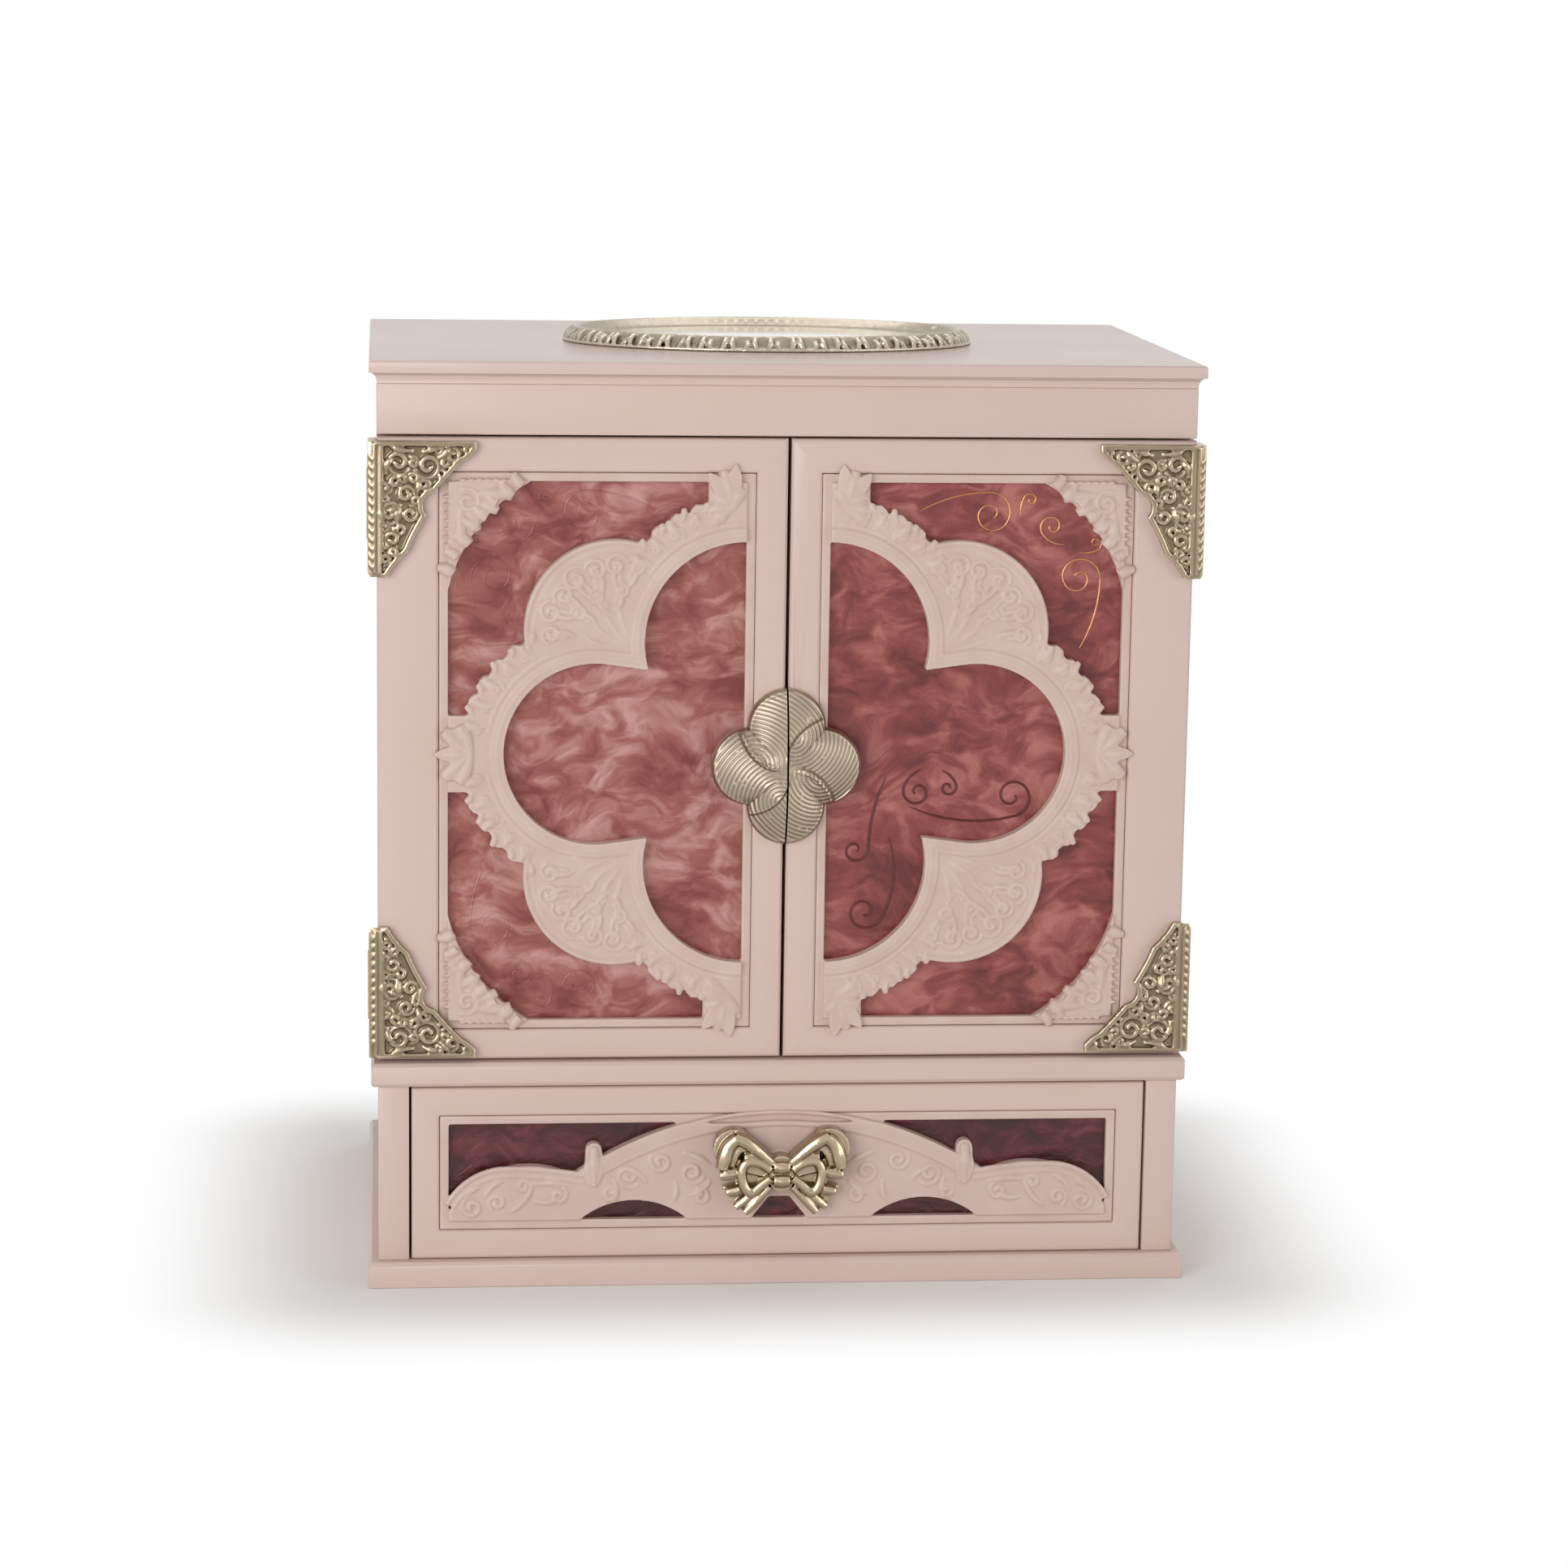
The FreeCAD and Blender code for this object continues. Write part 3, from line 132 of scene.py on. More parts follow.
# Matt white paper: bright and even, it takes a soft shadow close to the object and is pure white past that.
# Its fibres are too fine to show, so the grain is drawn at 2 mm.
floor_finish, tree = new_finish("matt_white_paper")
place = add(tree, "ShaderNodeTexCoord").outputs["Object"]
spread = add(tree, "ShaderNodeVectorMath", {0: place}, operation="ABSOLUTE")
past = add(tree, "ShaderNodeVectorMath", {0: spread.outputs[0], 1: SHADOW_FOOT}, operation="SUBTRACT")
clear = add(tree, "ShaderNodeVectorMath", {0: past.outputs[0], 1: (0, 0, 0)}, operation="MAXIMUM")
reach = add(tree, "ShaderNodeVectorMath", {0: clear.outputs[0]}, operation="LENGTH")
fade = add(
    tree, "ShaderNodeMapRange",
    {"Value": reach.outputs["Value"], "From Min": 0.0, "From Max": SHADOW_REACH},
    interpolation_type="SMOOTHSTEP",
)
shown = add(
    tree, "ShaderNodeMath", {0: fade.outputs[0], 1: seen_directly(tree).outputs[0]}, operation="MULTIPLY",
)
grain = add(tree, "ShaderNodeTexNoise", {"Vector": place, "Scale": 1 / FLOOR_GRAIN})
tone = add(
    tree, "ShaderNodeMix",
    {"Factor": grain.outputs[0], "A": colour("#F6F6F4"), "B": colour("#FBFBFA")}, data_type="RGBA",
)
paper = add(tree, "ShaderNodeBsdfPrincipled", {"Base Color": tone.outputs["Result"], "Roughness": 0.9})
white = add(tree, "ShaderNodeEmission", {"Color": WHITE, "Strength": 1.0})
both = add(tree, "ShaderNodeMixShader", {0: shown.outputs[0], 1: paper.outputs[0], 2: white.outputs[0]})
add(tree, "ShaderNodeOutputMaterial", {"Surface": both.outputs[0]})
sheet = bmesh.new()
bmesh.ops.create_grid(sheet, x_segments=1, y_segments=1, size=FLOOR_SIZE / 2)
floor_data = bpy.data.meshes.new("floor")
sheet.to_mesh(floor_data)
sheet.free()
floor_data.materials.append(floor_finish)
floor = bpy.data.objects.new("floor", floor_data)
scene.collection.objects.link(floor)

for name, at, width, power in LAMPS:
    lamp = bpy.data.objects.new(name, bpy.data.lights.new(name, "AREA"))
    lamp.data.size = width
    lamp.data.energy = power
    aim = (LAMP_AIM - Vector(at)).to_track_quat("-Z", "Y").to_matrix().to_4x4()
    lamp.matrix_world = Matrix.Translation(Vector(at)) @ aim
    scene.collection.objects.link(lamp)

# Case: boards of fibreboard, sawn square, glued and pinned, under a thick sprayed coat of dusty pink satin
# paint. The coat rounds every edge a little, apart from the closed edges of a mitre, and leaves a faint
# orange peel.
PAINT_ROUND = 0.5 * MM
PAINT_SEGMENTS = 2
PAINT_CLOUD = 55 * MM
PAINT_DRIFT = 0.06
PEEL_PITCH = 1.3 * MM
PEEL_DEPTH = 0.05 * MM
PAINT_LIGHT, PAINT_DARK = "#D8C0B7", "#D1B7AE"
SHARP_EDGE = math.radians(25)
SMOOTH_BELOW = math.radians(35)
SAME_PLANE = math.radians(1)
SAME_POINT = 0.002 * MM
MITRE_LEAN, MITRE_LEVEL = 0.3, 0.1
CASE_BOARDS = (
    "plinth_board", "lower_left_side", "lower_right_side", "waist_board", "upper_left_side", "upper_right_side",
    "frieze_rail", "tray_floor", "back_panel", "shelf", "shelf_cleats",
)


def satin_paint(name, light, dark, roughness, peel, coat):
    """Sprayed paint: two near tones in soft clouds, an orange peel, and a gloss that drifts a little."""
    made, tree = new_finish(name)
    place = add(tree, "ShaderNodeTexCoord").outputs["Object"]
    cloud = add(tree, "ShaderNodeTexNoise", {"Vector": place, "Scale": 1 / PAINT_CLOUD, "Detail": 4.0})
    tone = add(
        tree, "ShaderNodeMix",
        {"Factor": cloud.outputs[0], "A": colour(light), "B": colour(dark)}, data_type="RGBA",
    )
    gloss = add(tree, "ShaderNodeMapRange", {
        "Value": cloud.outputs[0], "To Min": roughness - PAINT_DRIFT, "To Max": roughness + PAINT_DRIFT,
    })
    skin = add(tree, "ShaderNodeTexNoise", {"Vector": place, "Scale": 1 / PEEL_PITCH, "Detail": 2.0})
    bump = add(
        tree, "ShaderNodeBump", {"Height": skin.outputs[0], "Strength": peel, "Distance": PEEL_DEPTH},
    )
    surface = add(tree, "ShaderNodeBsdfPrincipled", {
        "Base Color": tone.outputs["Result"], "Roughness": gloss.outputs[0], "Normal": bump.outputs[0],
        "Coat Weight": coat, "Coat Roughness": 0.12,
    })
    add(tree, "ShaderNodeOutputMaterial", {"Surface": surface.outputs[0]})
    return made


def copy_of(name):
    """Merged copy of a CAD node's mesh."""
    copy = bmesh.new()
    copy.from_mesh(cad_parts[name].data)
    bmesh.ops.remove_doubles(copy, verts=copy.verts, dist=SAME_POINT)
    return copy


def board(name):
    """Copy of a board with joined facets and every sharp edge rounded, apart from those of a mitre."""
    copy = copy_of(name)
    bmesh.ops.dissolve_limit(copy, angle_limit=SAME_PLANE, verts=copy.verts, edges=copy.edges)
    mitred = {
        edge for face in copy.faces
        if min(abs(face.normal.x), abs(face.normal.z)) > MITRE_LEAN and abs(face.normal.y) < MITRE_LEVEL
        for edge in face.edges
    }
    sharp = [edge for edge in copy.edges if edge not in mitred and edge.calc_face_angle(0) > SHARP_EDGE]
    bmesh.ops.bevel(
        copy, geom=sharp, offset=PAINT_ROUND, offset_type="OFFSET", affect="EDGES",
        segments=PAINT_SEGMENTS, profile=0.5, material=-1, clamp_overlap=True,
    )
    return copy


def fit(name, made, finish, body, slot, *nodes):
    """Turns a bmesh into a piece that rides on its body and stands for its CAD nodes."""
    data = bpy.data.meshes.new(name)
    made.to_mesh(data)
    made.free()
    data.materials.append(finish)
    data.shade_smooth()
    data.set_sharp_from_angle(angle=SMOOTH_BELOW)
    piece = bpy.data.objects.new(name, data)
    scene.collection.objects.link(piece)
    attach(piece, body)
    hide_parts(*nodes)
    return piece


def dress(finish, *names):
    """Gives CAD nodes their finish."""
    for name in names:
        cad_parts[name].material_slots[0].material = finish


# Sprayed satin paint: an even dusty pink with broad soft highlights
paint = satin_paint("sprayed_satin_paint", PAINT_LIGHT, PAINT_DARK, roughness=0.42, peel=0.35, coat=0.12)
for name in CASE_BOARDS:
    fit(name + "_painted", board(name), paint, "cabinet", "pink_paint", name)

# Magnet catches: two small ferrite blocks, each in a bent shell of plated steel, glued under the tray floor
# where the strikes of the doors meet them.
STREAK_WIDTH = 0.8 * MM
METAL_DRIFT = 0.08


def brushed_metal(name, light, dark, roughness, streak):
    """Smooth metal: fine streaks of two tones, longer along the axes that streak gives a small share."""
    made, tree = new_finish(name)
    place = add(tree, "ShaderNodeTexCoord").outputs["Object"]
    drawn = add(tree, "ShaderNodeVectorMath", {0: place, 1: streak}, operation="MULTIPLY")
    streaks = add(
        tree, "ShaderNodeTexNoise", {"Vector": drawn.outputs[0], "Scale": 1 / STREAK_WIDTH, "Detail": 3.0},
    )
    tone = add(
        tree, "ShaderNodeMix",
        {"Factor": streaks.outputs[0], "A": colour(light), "B": colour(dark)}, data_type="RGBA",
    )
    gloss = add(tree, "ShaderNodeMapRange", {
        "Value": streaks.outputs[0], "To Min": roughness - METAL_DRIFT, "To Max": roughness + METAL_DRIFT,
    })
    surface = add(tree, "ShaderNodeBsdfPrincipled", {
        "Base Color": tone.outputs["Result"], "Metallic": 1.0, "Roughness": gloss.outputs[0],
    })
    add(tree, "ShaderNodeOutputMaterial", {"Surface": surface.outputs[0]})
    return made


# Plated steel: cool grey with drawn streaks. Real ones are a tenth of a millimetre wide, drawn coarser to show.
steel = brushed_metal("plated_steel", "#C9CACB", "#A9ABAD", roughness=0.32, streak=(1, 1, 0.15))
dress(steel, "magnet_catches")

# Door frames: four mitred bars of the same painted fibreboard to each door, glued at the corners and rebated
# behind, with the four painted beads that hold the panel in its rebate.
for side in ("left", "right"):
    for bar in ("hinge_stile", "meeting_stile", "top_rail", "bottom_rail", "beads"):
        name = f"{side}_door_{bar}"
        fit(name + "_painted", board(name), paint, side + "_door", "pink_paint", name)

# Door panels: cast sheets of pearl resin, rose and wine stirred into swirls under a clear polished face, laid
# in from behind. Thin scrolls stand on the face: gold and dark lines on the right door, and on the left one
# only raised in the resin.
PANEL_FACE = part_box("right_door_panel")[0].y / MM
DOOR_MIDDLE = (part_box("right_door_fretwork")[0].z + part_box("right_door_fretwork")[1].z) / 2 / MM
PEARL_SWIRL = 10 * MM
PEARL_PULL = (0.8, 1, 1.35)
PEARL_DARKEST, PEARL_MIDDLE, PEARL_PALEST = 0.6, 0.79, 1.0
PEARL_FOLD = 1.2 * MM
# Bend at which the hollows' painted shade ends and the crests' painted highlight is full
RESIN_SHADED_HOLLOW, RESIN_LIT_CREST = 0.44, 0.54
RESIN_CLOUD = 12 * MM
RESIN_GRAIN = 0.7 * MM
RESIN_TOOTH = 0.05 * MM
VOLUTE_STEP = 15
VOLUTE_WIND = 0.82
FROND_STEPS = 6
BELLY_PLACE = 0.62
GOLD_THICK, DARK_THICK = 0.34, 0.45
CURL_END, ARM_END = 0.8, 0.4
# Centre of the curl, its radius, start and sweep, then length and bend of the arm that leads into it
OUTER_SCROLLS = (
    (68.5, 266.0, 7.6, 90, -500, 25.0, 30), (98.8, 244.5, 7.6, 0, 500, 25.0, -30),
    (89.5, 262.0, 4.2, 215, -420, 9.0, 60), (82.0, 271.0, 2.4, 150, -380, 7.0, 40),
    (104.5, 256.5, 2.4, 300, 380, 7.0, -40),
)
LOBE_SCROLLS = (
    (78.0, 169.5, 7.0, -75, 450, 38.0, -40), (28.0, 129.5, 6.4, -30, -430, 30.0, 50),
    (24.5, 151.0, 4.6, 0, -400, 26.0, -25), (45.5, 171.0, 5.0, 160, 420, 9.0, -50),
    (56.0, 172.5, 3.0, 20, -400, 7.0, 50),
)


def pearl_resin(name, deep, middle, pale, swirl):
    """Stirred pearl resin: warped clouds of three tones and folds that catch the light, under a clear coat."""
    made, tree = new_finish(name)
    place = add(tree, "ShaderNodeTexCoord").outputs["Object"]
    slow = add(tree, "ShaderNodeTexNoise", {"Vector": place, "Scale": 1 / (4 * swirl), "Detail": 2.0})
    pull = add(tree, "ShaderNodeVectorMath", {0: slow.outputs["Color"], "Scale": 3 * swirl}, operation="SCALE")
    bent = add(tree, "ShaderNodeVectorMath", {0: place, 1: pull.outputs[0]}, operation="ADD")
    warped = add(tree, "ShaderNodeVectorMath", {0: bent.outputs[0], 1: PEARL_PULL}, operation="MULTIPLY")
    fold = add(
        tree, "ShaderNodeTexNoise",
        {"Vector": warped.outputs[0], "Scale": 1 / swirl, "Detail": 4.0, "Roughness": 0.55, "Distortion": 0.6},
    )
    drift = add(
        tree, "ShaderNodeMath", {0: slow.outputs[0], 1: 0.6, 2: fold.outputs[0]}, operation="MULTIPLY_ADD",
    )
    ramp = add(tree, "ShaderNodeValToRGB", {"Fac": drift.outputs[0]})
    stops = ramp.color_ramp.elements
    stops[0].position, stops[0].color = PEARL_DARKEST, colour(deep)
    stops[1].position, stops[1].color = PEARL_PALEST, colour(pale)
    stops.new(PEARL_MIDDLE).color = colour(middle)
    bump = add(tree, "ShaderNodeBump", {"Height": fold.outputs[0], "Strength": 0.7, "Distance": PEARL_FOLD})
    surface = add(tree, "ShaderNodeBsdfPrincipled", {
        "Base Color": ramp.outputs["Color"], "Metallic": 0.15, "Roughness": 0.36, "Normal": bump.outputs[0],
        "Coat Weight": 0.15, "Coat Roughness": 0.08,
    })
    add(tree, "ShaderNodeOutputMaterial", {"Surface": surface.outputs[0]})
    return made


def moulded_resin(name, light, dark):
    """Matt moulded resin: a painted highlight on the crests and painted shade in the hollows, with a fine
    grain.
    """
    made, tree = new_finish(name)
    place = add(tree, "ShaderNodeTexCoord").outputs["Object"]
    bend = add(tree, "ShaderNodeNewGeometry").outputs["Pointiness"]
    # Painted highlight on the crests and painted shade in the hollows, read from the mesh's pointiness
    crest = add(
        tree, "ShaderNodeMapRange", {"Value": bend, "From Min": RESIN_SHADED_HOLLOW, "From Max": RESIN_LIT_CREST},
    )
    cloud = add(tree, "ShaderNodeTexNoise", {"Vector": place, "Scale": 1 / RESIN_CLOUD, "Detail": 5.0})
    shade_and_cloud = add(tree, "ShaderNodeMath", {0: crest.outputs[0], 1: cloud.outputs[0]}, operation="MULTIPLY")
    tone = add(
        tree, "ShaderNodeMix",
        {"Factor": shade_and_cloud.outputs[0], "A": colour(dark), "B": colour(light)}, data_type="RGBA",
    )
    grain = add(tree, "ShaderNodeTexNoise", {"Vector": place, "Scale": 1 / RESIN_GRAIN, "Detail": 2.0})
    bump = add(
        tree, "ShaderNodeBump", {"Height": grain.outputs[0], "Strength": 0.25, "Distance": RESIN_TOOTH},
    )
    surface = add(tree, "ShaderNodeBsdfPrincipled", {
        "Base Color": tone.outputs["Result"], "Roughness": 0.5, "Normal": bump.outputs[0],
    })
    add(tree, "ShaderNodeOutputMaterial", {"Surface": surface.outputs[0]})
    return made


def spot(x, z, reach, angle):
    """Point at a reach and an angle from a centre in the XZ plane, in millimetres and degrees."""
    return x + reach * math.cos(math.radians(angle)), z + reach * math.sin(math.radians(angle))


def around(x, z, radius, start, end, step):
    """Points along an arc."""
    count = max(2, math.ceil(abs(end - start) / step))
    return [spot(x, z, radius, start + (end - start) * index / count) for index in range(count + 1)]


def volute(x, z, radius, start, sweep):
    """Points of a scroll that winds in to its eye."""
    count = math.ceil(abs(sweep) / VOLUTE_STEP)
    shares = [index / count for index in range(count + 1)]
    return [spot(x, z, radius * (1 - VOLUTE_WIND * share), start + sweep * share) for share in shares]


def frond(x, z, heading, length, bend):
    """Points of a curved leaf rib, from its root along a heading that turns by bend."""
    points = [(x, z)]
    for index in range(FROND_STEPS):
        angle = heading + bend * (index + 0.5) / FROND_STEPS
        points.append(spot(*points[-1], length / FROND_STEPS, angle))
    return points


def swell(points, face, stroke, size=1.0):
    """Lays points at a stroke's depth behind a face, with its thickness at root, belly and tip."""
    depth, root, belly, tip = stroke
    line = []
    for index, (x, z) in enumerate(points):
        share = index / (len(points) - 1)
        rising = share < BELLY_PLACE
        near = share / BELLY_PLACE if rising else (1 - share) / (1 - BELLY_PLACE)
        near = near * near * (3 - 2 * near)
        end = root if rising else tip
        line.append((x, face + depth, z, end + (belly * size - end) * near))
    return line


def scrolls(rows, thick):
    """Lines at the panel's face: each row is a curl and the long arm that leads into it."""
    drawn = []
    for x, z, radius, start, sweep, length, bend in rows:
        curl = volute(x, z, radius, start, sweep)
        arm = frond(*curl[0], start - math.copysign(90, sweep), length, bend)
        drawn.append(swell(curl, PANEL_FACE, (0.0, thick, thick, thick * CURL_END)))
        drawn.append(swell(arm, PANEL_FACE, (0.0, thick, thick, thick * ARM_END)))
    return drawn


def flip(lines, middle):
    """The same lines, turned upside down about a level."""
    return [[(x, y, 2 * middle - z, radius) for x, y, z, radius in line] for line in lines]


def add_lines(made, lines):
    """Adds each line to a bmesh as a round bar of varying thickness."""
    drawn = bpy.data.curves.new("lines", "CURVE")
    drawn.dimensions = "3D"
    drawn.bevel_depth = 1.0
    drawn.bevel_resolution = 2
    drawn.use_fill_caps = True
    for line in lines:
        spline = drawn.splines.new("POLY")
        spline.points.add(len(line) - 1)
        for point, (x, y, z, radius) in zip(spline.points, line):
            point.co = (x * MM, y * MM, z * MM, 1)
            point.radius = radius * MM
    holder = bpy.data.objects.new("lines", drawn)
    made.from_mesh(bpy.data.meshes.new_from_object(holder))
    bpy.data.objects.remove(holder)


def twin(made):
    """Mirror image on the other side of the centre plane."""
    copy = made.copy()
    bmesh.ops.scale(copy, vec=(-1, 1, 1), verts=copy.verts)
    bmesh.ops.reverse_faces(copy, faces=copy.faces)
    return copy


# Stirred pearl resin: clouded rose with pale folds, painted paler as light on the left and deeper as shade on
# the right
lit_rose = pearl_resin("pale_rose_resin", "#7A3532", "#9C5852", "#C4918A", PEARL_SWIRL)
shaded_rose = pearl_resin("deep_rose_resin", "#652426", "#893E3D", "#B06A63", PEARL_SWIRL)
# Gold paint in a drawn line: a thin warm glint. Dark paint: a matt brown line with painted shade in its
# hollows.
gold_line = brushed_metal("drawn_gold_line", "#C9986A", "#A06B45", roughness=0.4, streak=(1, 1, 1))
dark_line = moulded_resin("drawn_dark_line", "#5E1A12", "#47100B")
outer_lines = scrolls(OUTER_SCROLLS, GOLD_THICK)
left_panel = copy_of("right_door_panel")
add_lines(left_panel, outer_lines + flip(outer_lines, DOOR_MIDDLE))
fit("left_panel", twin(left_panel), lit_rose, "left_door", "marbled_resin", "left_door_panel")
left_panel.free()
right_panel = copy_of("right_door_panel")
for index, lines in ((1, outer_lines), (2, scrolls(LOBE_SCROLLS, DARK_THICK))):
    plain = len(right_panel.faces)
    add_lines(right_panel, lines)
    right_panel.faces.ensure_lookup_table()
    for face in right_panel.faces[plain:]:
        face.material_index = index
piece = fit("right_panel", right_panel, shaded_rose, "right_door", "marbled_resin", "right_door_panel")
piece.data.materials.append(gold_line)
piece.data.materials.append(dark_line)

# Door fretwork: a pierced overlay to each door, moulded in pale resin and glued over the panel. A rounded rim
# runs round half of a quatrefoil; outside it lie overlapping leaves, a scrolled shell in each shoulder, leafy
# corners, and sprays that reach over the frame. The left one is the mirror image of the right one.
CARVING_Y = -93.9
SPINE_X, LOBE_Z, LOBE_RADIUS = 14.15, DOOR_MIDDLE + 38.0, 33.9
SIDE_X, SIDE_RADIUS, SIDE_TOUCH = 64.45, 30.8, 97.8
SHELL_X, SHELL_Z, SHELL_RADIUS = 57.95, DOOR_MIDDLE + 42.0, 30.7
WINDOW_X, WINDOW_Z = 113.85, 276.85
RIM_OFFSET, RIM_START, RIM_CUSP = 2.3, 88, -10.5
FINE_STEP = 3
FRET_VOXEL = 0.4 * MM
FRET_SOFTEN = 3
FRET_KEEP = 0.34
LEAF_SIZES = (1.0, 0.82, 1.12, 0.9)
# Strokes of the carving: depth behind its face, then thickness at root, belly and tip
RIM_STROKE = (0.9, 1.9, 1.9, 1.9)
RING_LINE = (0.1, 0.5, 0.5, 0.5)
RING_LEAF = (0.45, 0.7, 1.8, 1.3)
RING_CURL = (-0.05, 0.4, 0.62, 0.7)
RING_BUD = (0.1, 0.7, 1.25, 0.9)
SHELL_CURL = (-0.1, 0.5, 0.82, 0.9)
SHELL_LEAF = (0.0, 0.7, 1.05, 0.35)
SHELL_STEM = (0.15, 0.6, 0.85, 0.25)
SHELL_RIB = (0.3, 0.4, 0.95, 0.4)
CORNER_LUMP = (0.3, 1.3, 2.3, 2.0)
CORNER_CURL = (-0.1, 0.45, 0.85, 0.9)
CORNER_LEAF = (0.7, 1.2, 2.2, 1.5)
TOP_LEAF = (0.9, 1.8, 2.6, 1.7)
TOP_CURL = (-0.1, 0.45, 0.8, 0.9)
SIDE_LEAF = (0.6, 1.6, 2.7, 2.2)
SIDE_VEIN = (-0.9, 0.4, 0.9, 0.5)
# Centre, radius, start and end of the leafy stretches of the ring, and how far out their rows lie
RING_ARCS = ((SPINE_X, LOBE_Z, LOBE_RADIUS, 80, 40), (SIDE_X, DOOR_MIDDLE, SIDE_RADIUS, 58, 16))
RING_LINE_OUT, RING_LEAF_OUT, RING_CURL_OUT, RING_BUD_OUT = 6.0, 7.2, 9.6, 12.6
LEAF_PITCH = 6.4
# Inset, start, end and stroke of the shell's two rims
SHELL_RIMS = ((0.9, -16, 112, (0.1, 0.75, 0.75, 0.75)), (3.4, -12, 106, (0.15, 0.42, 0.42, 0.42)))
# Angle and reach from the shell's centre, radius, and the way it turns
SHELL_SCROLLS = (
    (-4, 21.5, 3.4, 1), (16, 22.5, 4.0, -1), (34, 21.0, 3.6, 1), (52, 22.0, 4.4, -1), (72, 21.5, 3.8, 1),
    (90, 22.0, 4.0, -1), (108, 22.5, 3.2, 1), (25, 13.5, 3.0, 1), (62, 13.0, 3.2, -1), (98, 13.5, 2.8, 1),
)
SHELL_ROOT_X, SHELL_ROOT_Z, SHELL_ROOT = SHELL_X - 6, SHELL_Z - 8, 5.0
SHELL_RIBS = (20, 38, 56, 74)
CORNER_REACH = 63.1
CORNER_LUMPS = (19.5, 25.0, 30.5, 36.0, 41.5, 47.0, 52.5, 57.0)
LUMP_LENGTH, LUMP_BEND, LUMP_MIDDLE = 5.8, 40, 40
# Distance in and down from the window's corner, heading, length and bend
CORNER_LEAVES = (
    (9.0, 4.2, 172, 12.5, 24), (4.2, 9.0, 278, 12.5, -24), (10.0, 7.4, 190, 7.0, 22),
    (7.4, 10.0, 260, 7.0, -22), (9.0, 9.0, 225, 3.6, 0),
)
CORNER_BEADS, BEAD_FIRST, BEAD_STEP, BEAD_OUT = 7, 5.0, 2.7, 0.6
# Heading, length and bend
TOP_SPRAY = ((76, 12.5, 0), (112, 7.0, 20), (40, 8.0, -25), (4, 8.5, -35), (-30, 9.0, -25))
SIDE_SPRAY = ((0, 9.0, 0), (36, 12.0, 12), (-36, 12.0, -12), (78, 10.5, -20), (-78, 10.5, 20))
SIDE_SPRAY_IN = 7.5


def bead(x, y, z, half, thick):
    """A short upright bar, thickest at its middle, that melts to a bead."""
    return [(x, y, z - half, 0.5), (x, y, z, thick), (x, y, z + half, 0.5)]


def cast(made, voxel, soften, keep):
    """Melts the forms of a bmesh into one skin, softens it as polish does, and thins its flat parts."""
    data = bpy.data.meshes.new("mould")
    made.to_mesh(data)
    made.free()
    mould = bpy.data.objects.new("mould", data)
    scene.collection.objects.link(mould)
    melt = mould.modifiers.new("melt", "REMESH")
    melt.mode = "VOXEL"
    melt.voxel_size = voxel
    ease = mould.modifiers.new("ease", "SMOOTH")
    ease.factor = 0.5
    ease.iterations = soften
    thin = mould.modifiers.new("thin", "DECIMATE")
    thin.ratio = keep
    skin = bmesh.new()
    skin.from_object(mould, bpy.context.evaluated_depsgraph_get())
    bpy.data.objects.remove(mould)
    return skin


# Moulded pale resin, painted: matt, with a painted highlight nearly white on the crests and painted shade in
# the hollows
carved_resin = moulded_resin("moulded_pale_resin", "#E1CEC6", "#C8AB9F")
rim = around(SPINE_X, LOBE_Z, LOBE_RADIUS + RIM_OFFSET, RIM_START, RIM_CUSP, FINE_STEP)
rim += around(SIDE_X, DOOR_MIDDLE, SIDE_RADIUS + RIM_OFFSET, SIDE_TOUCH, 0, FINE_STEP)
lines = [swell(rim, CARVING_Y, RIM_STROKE)]
for x, z, radius, start, end in RING_ARCS:
    edge = around(x, z, radius + RING_LINE_OUT, start + 6, end - 4, FINE_STEP)
    lines.append(swell(edge, CARVING_Y, RING_LINE))
    count = round(math.radians(start - end) * radius / LEAF_PITCH)
    for index in range(count + 1):
        angle = start + (end - start) * index / count
        size = LEAF_SIZES[index % len(LEAF_SIZES)]
        foot = spot(x, z, radius + RING_LEAF_OUT, angle)
        leaf = frond(*foot, heading=angle - 55, length=7.6 * size, bend=80)
        lines.append(swell(leaf, CARVING_Y, RING_LEAF, size))
        foot = spot(x, z, radius + RING_CURL_OUT, angle - 3.5)
        curl = volute(*foot, radius=2.7 * size, start=angle + 150, sweep=-420)
        lines.append(swell(curl, CARVING_Y, RING_CURL))
        foot = spot(x, z, radius + RING_BUD_OUT, angle + 1.5)
        bud = frond(*foot, heading=angle + 70, length=4.2 * size, bend=-60)
        lines.append(swell(bud, CARVING_Y, RING_BUD))
for inset, start, end, stroke in SHELL_RIMS:
    edge = around(SHELL_X, SHELL_Z, SHELL_RADIUS - inset, start, end, FINE_STEP)
    lines.append(swell(edge, CARVING_Y, stroke))
for angle, reach, radius, turn in SHELL_SCROLLS:
    eye = spot(SHELL_X, SHELL_Z, reach, angle)
    curl = volute(*eye, radius=radius, start=angle - 70 * turn, sweep=480 * turn)
    leaf = frond(*eye, heading=angle + 155 * turn, length=2.6 * radius, bend=70 * turn)
    stem = frond(*eye, heading=angle + 215 * turn, length=2.1 * radius, bend=-60 * turn)
    for points, stroke in ((curl, SHELL_CURL), (leaf, SHELL_LEAF), (stem, SHELL_STEM)):
        lines.append(swell(points, CARVING_Y, stroke))
for angle in SHELL_RIBS:
    foot = spot(SHELL_ROOT_X, SHELL_ROOT_Z, SHELL_ROOT, angle)
    lines.append(swell(frond(*foot, heading=angle - 12, length=14.0, bend=24), CARVING_Y, SHELL_RIB))
